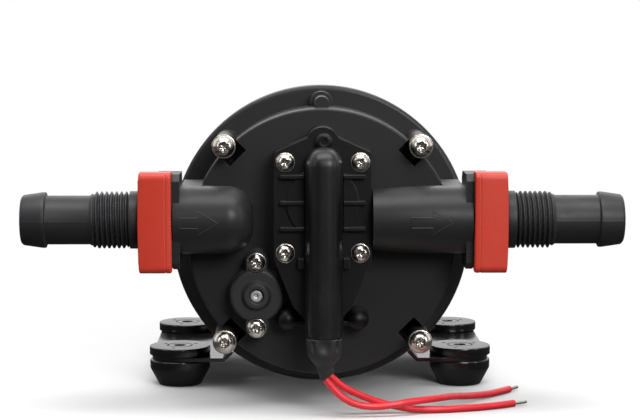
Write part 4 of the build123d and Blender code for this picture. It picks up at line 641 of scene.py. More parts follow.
class Draft:
    """Grids of points that become one mesh, with how far each point lies in a recess that gets painted shade.
    """

    def __init__(self) -> None:
        """Start with nothing in it."""
        self.points: list[np.ndarray] = []
        self.recess_shades: list[np.ndarray] = []
        self.faces: list[list[int]] = []
        self.count = 0

    def grid(
        self, points: np.ndarray, close_columns: bool = True, hollow: np.ndarray | None = None
    ) -> "Draft":
        """Add a grid of points as quads between neighbours.

        Args:
            points: Rows by columns by 3, in millimetres.
            close_columns: Whether the last column joins the first.
            hollow: How far each row lies in a recess that gets painted shade, from 0 to 1, or None for
                nowhere.

        Returns:
            The draft itself.
        """
        rows, columns = points.shape[:2]
        index = self.count + np.arange(rows * columns).reshape(rows, columns)
        if close_columns:
            index = np.hstack([index, index[:, :1]])
        quads = np.stack([index[:-1, :-1], index[:-1, 1:], index[1:, 1:], index[1:, :-1]], axis=-1)
        self.points.append(points.reshape(-1, 3))
        self.recess_shades.append(np.repeat(np.zeros(rows) if hollow is None else hollow, columns))
        self.faces.extend(quads.reshape(-1, 4).tolist())
        self.count += rows * columns
        return self

    def capped(self, points: np.ndarray) -> "Draft":
        """Add a grid closed round its columns, with one face over its first row and one over its last."""
        start = self.count
        columns = points.shape[1]
        self.grid(points)
        self.faces.append(list(range(start, start + columns)))
        self.faces.append(list(range(self.count - columns, self.count))[::-1])
        return self

    def build(self, name: str, sharp: float = 32.0, wall: float = 0.0) -> Piece:
        """Make the mesh: merge doubles, turn faces outwards, shade smooth up to an angle.

        Args:
            name: Name of the object.
            sharp: Angle in degrees over which an edge stays sharp.
            wall: Thickness that an open surface gets on its inner side, or 0 for none.

        Returns:
            The new object at the origin, in metres.
        """
        mesh = bpy.data.meshes.new(name)
        mesh.from_pydata((np.vstack(self.points) * MM).tolist(), [], self.faces)
        # Painted shade: how far each point lies in a recess, kept for the material to darken it
        recess_shade = mesh.attributes.new("recess_shade", "FLOAT", "POINT")
        recess_shade.data.foreach_set("value", np.concatenate(self.recess_shades).astype(np.float32))
        work = bmesh.new()
        work.from_mesh(mesh)
        bmesh.ops.remove_doubles(work, verts=work.verts, dist=0.002 * MM)
        bmesh.ops.recalc_face_normals(work, faces=work.faces)
        work.to_mesh(mesh)
        work.free()
        mesh.polygons.foreach_set("use_smooth", np.ones(len(mesh.polygons), bool))
        mesh.set_sharp_from_angle(angle=math.radians(sharp))
        made = put(name, mesh)
        if wall:
            solidify = made.modifiers.new("wall", "SOLIDIFY")
            solidify.thickness = wall * MM
            solidify.offset = -1
            solidify.use_even_offset = True
        return made


def dress(piece: Piece, body: str, finish: Finish, *replaced: str) -> Piece:
    """Give a new piece its material and its body, and hide the nodes that it replaces.

    Args:
        piece: The new piece.
        body: CAD body that it rides on.
        finish: Its finish, which names the record's slot.
        replaced: CAD nodes that it replaces.

    Returns:
        The piece.
    """
    piece.data.materials.append(finish.build())
    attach(piece, body)
    if replaced:
        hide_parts(*replaced)
    LOG.info("%s rides on %s", piece.name, body)
    return piece


@dataclass(frozen=True)
class Softbox:
    """One soft lamp: where it hangs, its size in metres, its power and what it looks at."""

    name: str
    place: Point
    size: tuple[float, float]
    power: float
    target: Point = (0.0, -0.05, 0.06)

    def build(self) -> None:
        """Make the lamp."""
        data = bpy.data.lights.new(self.name, "AREA")
        data.shape = "RECTANGLE"
        data.size, data.size_y = self.size
        data.energy = self.power
        put(self.name, data, self.place, Vector(self.target) - Vector(self.place))


@dataclass
class Studio:
    """Camera at the photograph's angle, pale floor, world and soft lamps, in metres and degrees."""

    eye: Point = (-0.01308, -0.83217, 0.14655)
    pitch: float = 5.479
    yaw: float = 0.935
    lens: float = 113.68
    floor_colour: Colour = (0.86, 0.86, 0.86)
    fade: tuple[float, float] = (0.11, 0.21)
    dim_nearer: float = 0.12
    lamps: tuple[Softbox, ...] = (
        Softbox("top_lamp", (0.0, -0.3, 0.9), (1.0, 0.5), 7.0),
        Softbox("left_lamp", (-0.95, -0.55, 0.5), (0.3, 0.7), 1.2),
        Softbox("right_lamp", (0.95, -0.5, 0.45), (0.3, 0.7), 1.6),
        Softbox("back_lamp", (0.0, 0.9, 0.7), (1.2, 0.5), 3.0, target=(0.0, 0.0, 0.06)),
        Softbox("front_lamp", (0.45, -1.25, 0.62), (0.5, 0.5), 9.5),
    )

    def camera(self) -> None:
        """Make the camera and set it as the scene's."""
        pitch, yaw = math.radians(self.pitch), math.radians(self.yaw)
        ahead = Vector((math.sin(yaw) * math.cos(pitch), math.cos(yaw) * math.cos(pitch), -math.sin(pitch)))
        data = bpy.data.cameras.new("photo_camera")
        data.lens = self.lens
        data.sensor_width = 36.0
        data.clip_start, data.clip_end = 0.01, 60.0
        bpy.context.scene.camera = put("photo_camera", data, self.eye, ahead)

    def world(self) -> None:
        """Make the world: white for the camera; as light, bright behind and above and dim in front."""
        world = bpy.data.worlds.new("studio")
        bpy.context.scene.world = world
        world.use_nodes = True
        tree = world.node_tree
        split = add_node(tree, "SeparateXYZ", Vector=add_node(tree, "TexCoord").outputs["Generated"])
        behind = between(tree, split.outputs["Y"], -0.25, 0.4)
        above = between(tree, split.outputs["Z"], 0.35, 1.0)
        light = maths(tree, "MULTIPLY_ADD", maths(tree, "MAXIMUM", behind, above), 0.35, 0.15)
        path = add_node(tree, "LightPath").outputs
        mirrored = maths(tree, "MAXIMUM", path["Is Glossy Ray"], path["Is Transmission Ray"])
        seen = maths(tree, "MAXIMUM", path["Is Camera Ray"], maths(tree, "MULTIPLY", mirrored, behind))
        strength = maths(tree, "MAXIMUM", light, seen)
        feed(tree, tree.nodes["Background"], Color=(1.0, 1.0, 1.0, 1.0), Strength=strength)

    def floor(self) -> None:
        """Make the floor: pale near the pump, beyond that white for the camera and dim as light."""
        half = 30000.0
        corners = np.array([[[-half, -half, 0], [half, -half, 0]], [[-half, half, 0], [half, half, 0]]])
        floor = Draft().grid(corners, close_columns=False).build("floor")
        material = bpy.data.materials.new("floor")
        material.use_nodes = True
        tree = material.node_tree
        pale = tree.nodes["Principled BSDF"]
        feed(tree, pale, Base_Color=(*self.floor_colour, 1.0), Roughness=0.7, Specular_IOR_Level=0.2)
        white = add_node(tree, "Emission", Strength=1.0)
        dim = add_node(tree, "BsdfDiffuse", Color=(0.05, 0.05, 0.05, 1.0))
        oval = add_node(tree, "Mapping", Location=(0.0, 0.05, 0.0), Scale=(1.0, 0.8, 1.0), Vector=place(tree))
        reach = add_node(tree, "VectorMath", operation="LENGTH", Vector=oval.outputs["Vector"])
        seen = add_node(tree, "LightPath").outputs["Is Camera Ray"]
        unseen = maths(tree, "SUBTRACT", 1.0, seen)
        reach = maths(tree, "MULTIPLY_ADD", unseen, self.dim_nearer, reach.outputs["Value"])
        far = between(tree, reach, *self.fade)
        beyond = self.mixed(tree, seen, dim, white)
        feed(tree, tree.nodes["Material Output"], Surface=self.mixed(tree, far, pale, beyond).outputs[0])
        floor.data.materials.append(material)

    @staticmethod
    def mixed(tree: Tree, share: Socket, first: Node, second: Node) -> Node:
        """Mix two shaders by a share from 0, the first, to 1, the second."""
        mix = add_node(tree, "MixShader", Fac=share)
        tree.links.new(first.outputs[0], mix.inputs[1])
        tree.links.new(second.outputs[0], mix.inputs[2])
        return mix

    def build(self) -> None:
        """Make the camera, the world, the floor and the lamps."""
        self.camera()
        self.world()
        self.floor()
        for lamp in self.lamps:
            lamp.build()
        bpy.context.scene.view_settings.view_transform = "Standard"
        LOG.info("studio with %d lamps", len(self.lamps))


@dataclass
class Leads:
    """The two red leads and their bare tinned ends."""

    diameter: float = 2.65
    tip_diameter: float = 1.5
    tip_length: float = 6.0
    tip_overlap: float = 0.4
    strands: int = 7
    strand_turns: float = 1.6
    supply_length: float = 99.6
    motor_length: float = 77.6
    supply_route: tuple[Point, ...] = (
        (0.497, -102.468, 14.693),
        (4.4, -102.6, 9.9),
        (8.0, -102.6, 6.9),
        (11.8, -102.1, 4.9),
        (18.3, -101.2, 3.7),
        (25.0, -100.8, 4.3),
        (31.8, -99.0, 5.2),
        (42.5, -92.0, 5.2),
        (49.0, -83.0, 4.3),
        (56.0, -73.0, 2.4),
        (65.6, -63.8, 1.5),
        (73.6, -53.2, 1.4),
    )
    motor_route: tuple[Point, ...] = (
        (2.042, -100.132, 15.898),
        (6.1, -100.0, 11.7),
        (11.5, -98.2, 8.5),
        (18.1, -95.6, 5.3),
        (25.6, -94.3, 2.9),
        (33.0, -94.4, 1.6),
        (41.0, -94.6, 1.4),
        (50.0, -92.6, 1.4),
        (59.0, -89.6, 1.4),
        (66.5, -86.0, 1.4),
        (72.2, -82.2, 1.4),
    )

    def line(self, route: tuple[Point, ...], name: str) -> Piece:
        """Make one lead as a smooth open spline whose control points are the route's.

        Args:
            route: Points in millimetres.
            name: Name of the lead.

        Returns:
            The curve object.
        """
        data = bpy.data.curves.new(name, "CURVE")
        data.dimensions = "3D"
        data.bevel_depth = self.diameter / 2 * MM
        data.bevel_resolution = 6
        data.use_fill_caps = True
        spline = data.splines.new("NURBS")
        spline.points.add(len(route) - 1)
        points = np.hstack([np.array(route) * MM, np.ones((len(route), 1))])
        spline.points.foreach_set("co", points.ravel())
        spline.order_u = 3
        spline.use_endpoint_u = True
        spline.resolution_u = 12
        return put(name, data)

    def tip(self, draft: Draft, route: tuple[Point, ...]) -> None:
        """Add the twisted strands of one bare end.

        Strand k follows end + s * way + (tip radius - strand radius) * (cos(a), sin(a)) across the way, with
        a = 2 pi (k / outer strands + turns * s / length). The last strand runs straight in the middle.

        Args:
            draft: Draft that takes the strands.
            route: Points of the lead that the strands come out of.
        """
        end = np.array(route[-1])
        way = unit(end - np.array(route[-2]))
        side = unit(np.cross(way, UP))
        other = np.cross(way, side)
        radius = self.tip_diameter / 6
        along = np.linspace(-self.tip_overlap, self.tip_length, 28)
        outer = self.strands - 1
        for strand in range(self.strands):
            angle = TURN * (strand / outer + self.strand_turns * along / self.tip_length)
            reach = 0.0 if strand == outer else self.tip_diameter / 2 - radius
            across = reach * (np.cos(angle)[:, None] * side + np.sin(angle)[:, None] * other)
            path = end + along[:, None] * way + across
            draft.capped(tube(path, radius, 10, UP))

    def build(self) -> None:
        strands = Draft()
        self.tip(strands, self.supply_route)
        self.tip(strands, self.motor_route)
        tips = dress(strands.build("bare_strands"), "pump", FINISHES[Slot.TIP], "lead_tips")
        for route, name, length in (
            (self.supply_route, "supply_lead", self.supply_length),
            (self.motor_route, "motor_lead", self.motor_length),
        ):
            lead = dress(self.line(route, name + "_curve"), "pump", FINISHES[Slot.LEAD], name)


@dataclass
class HoseFittings:
    """Both hose fittings: spigot, lock collar, collar, cut thread, shank with its mould line, and barb."""

    shoulder: float = 57.7
    play: float = 0.3
    spigot_radius: float = 7.4
    spigot_bore: float = 4.6
    spigot_length: float = 16.5
    seats: tuple[float, float] = (3.0, 8.5)
    seat_width: float = 2.1
    seat_depth: float = 1.6
    collar_radius: float = 8.8
    neck_radius: float = 6.4
    neck_start: float = 59.2
    neck_end: float = 62.0
    flange_start: float = 67.6
    flange_radius: float = 10.6
    thread_start: float = 70.8
    thread_end: float = 85.2
    thread_radius: float = 10.48
    thread_depth: float = 1.16
    pitch: float = 1.814
    enter_turns: float = 0.5
    leave_turns: float = 1.1
    shank_radius: float = 9.0
    barb_start: float = 101.4
    barb_radius: float = 10.25
    tip_radius: float = 9.25
    tip: float = 110.6
    bore: float = 6.2
    chamfer: float = 0.8
    mould_line: float = 0.09
    line_angle: float = 0.02
    angles: int = 160

    def profile(self) -> np.ndarray:
        """Half section from the spigot's end to the thread, as a shaft in steps.

        Returns:
            Rows of distance along the port and radius.
        """
        start = self.shoulder + self.play - self.spigot_length
        steps = [(start, self.spigot_radius)]
        for seat in self.seats:
            steps += [(start + seat, self.spigot_radius - self.seat_depth)]
            steps += [(start + seat + self.seat_width, self.spigot_radius)]
        steps += [
            (self.shoulder + self.play / 2, self.collar_radius),
            (self.neck_start, self.neck_radius),
            (self.neck_end, self.collar_radius),
            (self.flange_start, self.flange_radius),
            (self.thread_start, self.thread_radius - self.thread_depth),
        ]
        places, radii = np.array(steps).T
        before = np.r_[self.spigot_bore, radii[:-1]]
        return np.column_stack([np.repeat(places, 2), np.column_stack([before, radii]).ravel()])

    def thread(self) -> tuple[np.ndarray, np.ndarray]:
        """Cut thread as a helix, whose ridges run out at both ends.

        radius = root + depth * fade * ridge(along / pitch - angle / (2 pi)), where ridge is a triangle
        wave cut flat at its top and bottom, and fade runs from 0 to 1 over the turns where the cut enters
        and back over those where it leaves.

        Returns:
            Profile rows along the port, and the radius for each row and angle.
        """
        along = np.linspace(self.thread_start + 0.02, self.thread_end - 0.02, 141)
        phase = along[:, None] / self.pitch - ring(self.angles)[None] / TURN
        wave = 1 - 2 * np.abs(phase % 1 - 0.5)
        ridge = np.clip(wave * 1.5 - 0.2, 0, 1)
        enter = np.clip((along - self.thread_start) / (self.enter_turns * self.pitch), 0, 1)
        leave = np.clip((self.thread_end - along) / (self.leave_turns * self.pitch), 0, 1)
        root = self.thread_radius - self.thread_depth
        radii = root + self.thread_depth * (enter * leave)[:, None] * ridge
        return np.column_stack([along, np.full_like(along, root)]), radii

    def outer(self) -> tuple[np.ndarray, np.ndarray]:
        """Shank and barb with the mould line, then the bore.

        radius = profile radius + line * exp(-(angle off the line / line angle)^2) on the outside.

        Returns:
            Profile rows along the port, and the radius for each row and angle.
        """
        points = np.array(
            [
                (self.thread_end, self.thread_radius - self.thread_depth),
                (self.thread_end, self.shank_radius),
                (self.barb_start, self.shank_radius),
                (self.barb_start + 0.3, self.barb_radius),
                (self.barb_start + 1.5, self.barb_radius),
                (self.tip - self.chamfer, self.tip_radius),
                (self.tip, self.tip_radius - self.chamfer),
                (self.tip, self.bore),
                (self.flange_start, self.bore),
                (self.neck_end, self.spigot_bore),
                (self.shoulder + self.play - self.spigot_length, self.spigot_bore),
            ]
        )
        profile = rounded(points, 0.18, 3)
        angles = ring(self.angles)
        off = np.abs((angles + math.pi / 2) % math.pi - math.pi / 2)
        line = self.mould_line * np.exp(-((off / self.line_angle) ** 2))
        outside = (profile[:, 1] > self.shank_radius - 0.5)[:, None]
        return profile, profile[:, 1:2] + np.where(outside, line[None], 0.0)

    def build(self) -> None:
        """Make both fittings, with angle 0 towards the viewer of the head."""
        first = rounded(self.profile(), 0.2, 3)
        thread, thread_radii = self.thread()
        outer, outer_radii = self.outer()
        profile = np.vstack([first, thread, outer])
        radii = np.vstack([np.repeat(first[:, 1:2], self.angles, axis=1), thread_radii, outer_radii])
        for side, name in ((-1, "inlet"), (1, "outlet")):
            shape = turned(profile, (0.0, PORT_Y, PORT_HEIGHT), (side, 0.0, 0.0), FRONT, radii)
            fitting = Draft().grid(shape).build(name + "_hose_fitting", sharp=40.0)
            dress(fitting, name, FINISHES[Slot.FITTING], name + "_fitting")


@dataclass
class SlideClips:
    """Both red slide clips: a bent strip with a groove and a serrated edge, and the two legs of its fork."""

    inner: float = 55.0
    outer: float = 67.3
    front: float = -105.0
    face: float = 3.4
    wall: float = 3.0
    half_height: float = 18.4
    reach: float = 3.0
    corner: float = 2.6
    inner_corner: float = 0.5
    bulge: float = 0.5
    leg_across: float = 60.6
    leg_rise: float = 8.55
    leg_size: Point = (2.4, 17.6, 3.7)
    leg_start: float = 1.0
    leg_edge: float = 0.4
    edge: float = 0.5
    groove: float = 2.2
    groove_half: float = 0.3
    groove_floor: float = 0.95
    serration: float = 0.22
    serration_pitch: float = 1.1

    def strip(self, side: int) -> np.ndarray:
        """Bent strip as a rounded section carried along the clip's outline.

        A point is inner line + v * (outer line - inner line) along the section's share v, the pump side
        edge is pushed in by serration * |sin(pi * path / serration pitch)|, and the width shrinks by
        bulge * (rise / half height)^2 towards both ends.

        Args:
            side: -1 for the inlet, 1 for the outlet.

        Returns:
            Points, outline by section by 3.
        """
        back = self.front + self.face + self.reach
        high, low = self.half_height, self.half_height - self.wall
        outer = np.array([(back, high), (self.front, high), (self.front, -high), (back, -high)])
        inner_y = self.front + self.face
        inner = np.array([(back, low), (inner_y, low), (inner_y, -low), (back, -low)])
        outer = spread(rounded(outer, self.corner, 8), 260)
        inner = spread(rounded(inner, self.inner_corner, 6), 260)
        width = self.outer - self.inner
        edge = self.edge / width
        rise = self.edge / self.wall
        groove, half = self.groove / width, self.groove_half / width
        corner = np.array([(0.0, rise), (0.3 * edge, 0.3 * rise), (edge, 0.0)])
        inside = np.vstack([corner, corner[::-1] * (-1, 1) + (1, 0)])
        outside = inside[::-1] * (1, -1) + (0, 1)
        notch = np.array([(half, 1), (0.6 * half, self.groove_floor)])
        notch = np.vstack([notch, notch[::-1] * (-1, 1)]) + (groove, 0)
        section = np.vstack([inside[1:], outside[:3], notch, outside[3:], inside[:1]])
        path = np.linspace(0, 1, len(outer))
        length = 2 * self.reach + 2 * self.half_height
        bite = self.serration / width * np.abs(np.sin(np.pi * path * length / self.serration_pitch))
        pump_side = section[None, :, 0] < 0.1
        share = section[None, :, 0] + np.where(pump_side, 1.0, 0.0) * bite[:, None]
        flat = inner[:, None] + section[None, :, 1:2] * (outer - inner)[:, None]
        narrow = self.bulge * (flat[..., 1] / self.half_height) ** 2
        across = side * (self.inner + share * (width - narrow))
        return np.stack([across, flat[..., 0], PORT_HEIGHT + flat[..., 1]], axis=-1)

    def build(self) -> None:
        """Make both clips."""
        for side, name in ((-1, "inlet_clip"), (1, "outlet_clip")):
            draft = Draft().capped(self.strip(side))
            leg_y = self.front + self.leg_size[1] / 2 + self.leg_start
            for way in (-1, 1):
                centre = (side * self.leg_across, leg_y, PORT_HEIGHT + way * self.leg_rise)
                draft.capped(soft_bar(centre, self.leg_size, self.leg_edge))
            dress(draft.build(name + "_moulding", sharp=28.0), name, FINISHES[Slot.CLIP], name)


def soft_bar(centre: Point, size: Point, edge: float) -> np.ndarray:
    """Bar along Y with rounded long edges and narrowed ends.

    Args:
        centre: Middle of the bar.
        size: Size along X, Y and Z.
        edge: Radius of the long edges and inset of the ends.

    Returns:
        Points, stations by outline by 3.
    """
    half = np.array([size[0], size[2]]) / 2
    corners = np.array([(1, 0), (1, 1), (-1, 1), (-1, -1), (1, -1), (1, 0)], float)
    loop = rounded(corners * half, edge, 4)[:-1]
    along = np.array([-0.5, -0.5, 0.5, 0.5]) * size[1] + np.array([0, edge, -edge, 0])
    inset = 1 - np.array([edge, 0, 0, edge])[:, None] / half.min()
    flat = loop[None] * inset[:, None]
    y = np.repeat(along[:, None], len(loop), axis=1)
    return np.array(centre) + np.stack([flat[..., 0], y, flat[..., 1]], axis=-1)


@dataclass
class SwitchBoot:
    """Rubber boot over the microswitch, and its end cap with dimples and a slanted ribbed neck."""

    across: float = 0.4
    back: float = -95.0
    half_width: float = 6.9
    depth: float = 12.6
    top: float = 99.3
    seam: float = 29.6
    power: float = 2.9
    lip: float = 0.25
    swell: float = 0.10
    wall: float = 1.3
    cap_wall: float = 0.9
    neck_tilt: float = 38.0
    dimples: tuple[float, ...] = (-0.56, 0.02, 0.68)
    dimple_width: float = 0.12
    dimple_depth: float = 0.17

    def boot(self) -> np.ndarray:
        """Thumb-shaped shell, open at its back.

        At each height the outline is x = w * sign(cos a) |cos a|^(2/n), y = -d |sin a|^(2/n) for a from 0
        to pi. Towards the round top w shrinks as sqrt(1 - u^2) and d as (1 - u^2)^0.3, with u from 0 to 1.

        Returns:
            Points, height by angle by 3.
        """
        middle = self.top - self.half_width
        foot = np.array([0.0, 0.35, 1.2, 6.0]) + self.seam
        dome = middle + self.half_width * np.sin(ring(16, 0, math.pi / 2))[1:]
        heights = np.r_[foot, np.linspace(self.seam + 10, middle, 24), dome, self.top - 0.03]
        share = np.clip((heights - middle) / self.half_width, 0, 1)
        lip = np.where(heights < self.seam + 0.2, self.lip, 0.0)
        swell = self.swell * np.sin((heights - self.seam) / 9.0)
        width = (self.half_width - lip + swell * (share == 0)) * np.sqrt(1 - share**2)
        depth = (self.depth - lip) * (1 - share**2) ** 0.3
        angle = np.linspace(0, math.pi, 61)
        x = self.across + width[:, None] * signed_power(np.cos(angle), self.power)
        y = self.back - depth[:, None] * signed_power(np.abs(np.sin(angle)), self.power)
        return np.stack([x, y, np.broadcast_to(heights[:, None], x.shape)], axis=-1)

    def cap(self) -> np.ndarray:
        """End cap, lofted from rounded squares down to the slanted neck.

        Each level is a superellipse of its own half sizes and power about its own middle, made smaller by
        dimple depth * dent * exp(-((a - dimple) / dimple width)^2) at each dimple, and lifted by
        lean * x * tan(tilt) towards the neck's end.

        Returns:
            Points, level by angle by 3.
        """
        levels = np.array(
            [  # Height, shift, half width, half depth, power, dent, lean
                (self.seam, 0.0, 6.35, 5.75, 3.4, 0.0, 0.0),
                (29.25, 0.0, 6.6, 6.0, 3.4, 0.25, 0.0),
                (28.4, 0.0, 6.6, 6.0, 3.4, 0.8, 0.0),
                (26.9, 0.0, 6.5, 5.95, 3.3, 1.0, 0.0),
                (25.4, 0.0, 6.35, 5.9, 3.2, 0.6, 0.0),
                (24.2, 0.0, 6.15, 5.85, 3.0, 0.1, 0.0),
                (22.9, 0.0, 5.85, 5.7, 2.8, 0.0, 0.0),
                (21.7, 0.05, 5.2, 5.2, 2.6, 0.0, 0.0),
                (20.6, 0.1, 4.3, 4.7, 2.5, 0.0, 0.0),
                (19.9, 0.2, 3.7, 4.3, 2.5, 0.0, 0.05),
                (19.3, 0.3, 3.25, 4.0, 2.5, 0.0, 0.15),
                (18.7, 0.45, 3.15, 3.9, 2.5, 0.0, 0.3),
                (18.3, 0.55, 2.9, 3.75, 2.5, 0.0, 0.4),
                (17.9, 0.65, 3.0, 3.75, 2.5, 0.0, 0.5),
                (17.4, 0.8, 2.95, 3.6, 2.5, 0.0, 0.6),
                (17.0, 0.9, 2.7, 3.5, 2.5, 0.0, 0.7),
                (16.6, 1.0, 2.8, 3.5, 2.5, 0.0, 0.8),
                (16.0, 1.15, 2.7, 3.35, 2.5, 0.0, 0.9),
                (15.5, 1.3, 2.55, 3.2, 2.5, 0.0, 1.0),
                (15.3, 1.36, 2.35, 2.95, 2.5, 0.0, 1.0),
                (15.3, 1.36, 1.2, 1.6, 2.5, 0.0, 1.0),
                (15.4, 1.36, 0.02, 0.02, 2.5, 0.0, 1.0),
            ]
        )
        height, shift, width, depth, power, dent, lean = (column[:, None] for column in levels.T)
        angle = ring(SIDES)[None]
        dimples = np.array(self.dimples) - math.pi / 2
        off = np.abs((angle[..., None] - dimples + math.pi) % TURN - math.pi)
        dip = np.exp(-((off / self.dimple_width) ** 2)).sum(axis=-1)
        hollow = 1 - self.dimple_depth * dent * dip
        across = width * signed_power(np.cos(angle), power) * hollow
        middle = self.back - self.depth / 2
        along = middle + depth * signed_power(np.sin(angle), power) * hollow
        rise = height + lean * across * math.tan(math.radians(self.neck_tilt))
        return np.stack([self.across + shift + across, along, rise], axis=-1)

    def build(self) -> None:
        """Make the boot and its end cap."""
        boot = Draft().grid(self.boot(), close_columns=False).build("microswitch_boot", wall=self.wall)
        dress(boot, "pump", FINISHES[Slot.BOOT], "switch_boot")
        cap = Draft().grid(self.cap()).build("boot_end_cap", wall=self.cap_wall)
        dress(cap, "pump", CAP_FINISH, "boot_end")


@dataclass
class RubberFeet:
    """Four rubber feet with a ring and small pips moulded on top."""

    across: float = 56.0
    along: float = 31.5
    hole: float = 2.25
    pip_reach: float = 7.4
    pip_height: float = 15.5
    pip_angles: tuple[float, ...] = (0.6, 2.5, 4.4)

    def profile(self) -> np.ndarray:
        """Half section of a foot, closed on itself.

        Returns:
            Rows of height and radius.
        """
        points = np.array(
            [
                (0.0, self.hole),
                (0.0, 8.3),
                (6.8, 11.9),
                (10.1, 11.9),
                (10.4, 11.5),
                (10.4, 8.2),
                (12.1, 8.2),
                (12.1, 12.1),
                (15.6, 12.1),
                (15.6, 5.2),
                (15.2, 5.1),
                (15.2, 4.7),
                (15.6, 4.6),
                (15.6, self.hole),
            ]
        )
        return rounded(np.vstack([points, points[:1]]), 0.5, 4)

    def build(self) -> None:
        """Make the feet as one piece of four, each with three pips."""
        draft = Draft()
        profile = self.profile()
        pip = np.array([(0.0, 0.75), (0.2, 0.7), (0.3, 0.4), (0.32, 0.0)])
        pip_radii = np.repeat(pip[:, 1:2], 20, axis=1)
        for x in (-self.across, self.across):
            for y in (-self.along, self.along):
                draft.grid(turned(profile, (x, y, 0.0), UP, RIGHT))
                for angle in self.pip_angles:
                    pip_x = x + self.pip_reach * math.cos(angle)
                    pip_y = y + self.pip_reach * math.sin(angle)
                    draft.grid(turned(pip, (pip_x, pip_y, self.pip_height), UP, RIGHT, pip_radii))
        dress(draft.build("moulded_feet"), "pump", FINISHES[Slot.FOOT], "rubber_feet")


@dataclass
class Spring:
    """One compression spring along Y, wound from its front end to its back end."""

    node: str
    joint: str
    centre: tuple[float, float]
    front: float
    back: float
    radius: float
    wire: float
    turns: int
    keep: float

    def path(self) -> np.ndarray:
        """Middle line of the wire.

        A point is centre + radius * (cos(a), sin(a)) across Y, with a from 0 to 2 pi * turns, and y goes
        evenly from half a wire behind the front to half a wire before the back.

        Returns:
            Points in millimetres.
        """
        angle = np.linspace(0, TURN * self.turns, 40 * self.turns + 1)
        y = np.linspace(self.front + self.wire / 2, self.back - self.wire / 2, len(angle))
        x, z = self.centre[0] + self.radius * np.cos(angle), self.centre[1] + self.radius * np.sin(angle)
        return np.column_stack([x, y, z])

    def build(self) -> None:
        """Make the spring and give it a mesh of its own."""
        wire = tube(self.path(), self.wire / 2, 12, BACK)
        coil = Draft().capped(wire).build(self.node + "_coil")
        dress(coil, "pump", FINISHES[Slot.SPRING], self.node)
        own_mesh(coil)


@dataclass
class Screws:
    """Domed screws with a thin flange at the foot of the head and a lobed recess, all in one piece."""

    name: str
    node: str
    seats: tuple[tuple[float, float], ...]
    seat_y: float
    head_radius: float
    head_height: float
    shaft_radius: float
    length: float
    recess_radius: float
    recess_depth: float
    lobes: int
    lobe_share: float
    flange: float = 0.62
    first_turn: float = 0.4
    next_turn: float = 1.1

    def shape(self) -> tuple[np.ndarray, np.ndarray, np.ndarray]:
        """Section of one screw, with the radius for each angle and the grime of the recess.

        radius = mean * (1 + lobe share * weight * cos(lobes * angle)), with weight 1 in the recess and 0
        outside it. The dome rises as sqrt(1 - (radius / head radius)^2).

        Returns:
            Rows of height over the seat and mean radius, the radius for each row and angle, and the
            painted shade of each row, dark in the recess.
        """
        wide, high, deep = self.head_radius, self.head_height, self.recess_depth
        shank = [
            (-self.length, 0.0),
            (-self.length, self.shaft_radius * 0.5),
            (-self.length + 1.2, self.shaft_radius),
            (0.0, self.shaft_radius),
            (0.0, wide - 0.15),
            (0.12, wide),
            (self.flange - 0.12, wide),
            (self.flange, wide - 0.12),
            (self.flange, wide * 0.92),
        ]
        reach = np.linspace(0.91 * wide, 1.1 * self.recess_radius, 9)
        rise = np.sqrt(1 - (reach / wide) ** 2)
        rise = (rise - rise[0]) / (rise[-1] - rise[0])
        dome = np.column_stack([self.flange + (high - self.flange) * rise, reach])
        recess = np.array(
            [
                (high - 0.02, self.recess_radius * 1.03),
                (high - 0.12, self.recess_radius),
                (high - deep, self.recess_radius * 0.76),
                (high - deep - 0.05, self.recess_radius * 0.68),
                (high - deep - 0.3, 0.0),
            ]
        )
        profile = np.vstack([rounded(np.array(shank), 0.1, 2), dome, recess])
        weight = np.zeros(len(profile))
        weight[-len(recess) :] = (0.9, 1.0, 1.0, 1.0, 0.0)
        wave = np.cos(self.lobes * ring(SIDES))
        radii = profile[:, 1:2] * (1 + self.lobe_share * weight[:, None] * wave[None])
        # Painted shade on the recess walls, strongest just below the rim and slight on the floor
        recess_shade = np.zeros(len(profile))
        recess_shade[-len(recess) :] = (0.3, 1.0, 0.9, 0.1, 0.0)
        return profile, radii, recess_shade

    def build(self) -> None:
        """Make the screws, each turned a little differently, as screws are when they are tight."""
        profile, radii, recess_shade = self.shape()
        draft = Draft()
        for index, (x, z) in enumerate(self.seats):
            turn = self.first_turn + self.next_turn * index
            start = (math.cos(turn), 0.0, math.sin(turn))
            draft.grid(turned(profile, (x, self.seat_y, z), FRONT, start, radii), hollow=recess_shade)
        dress(draft.build(self.name, sharp=30.0), "pump", FINISHES[Slot.SCREW], self.node)


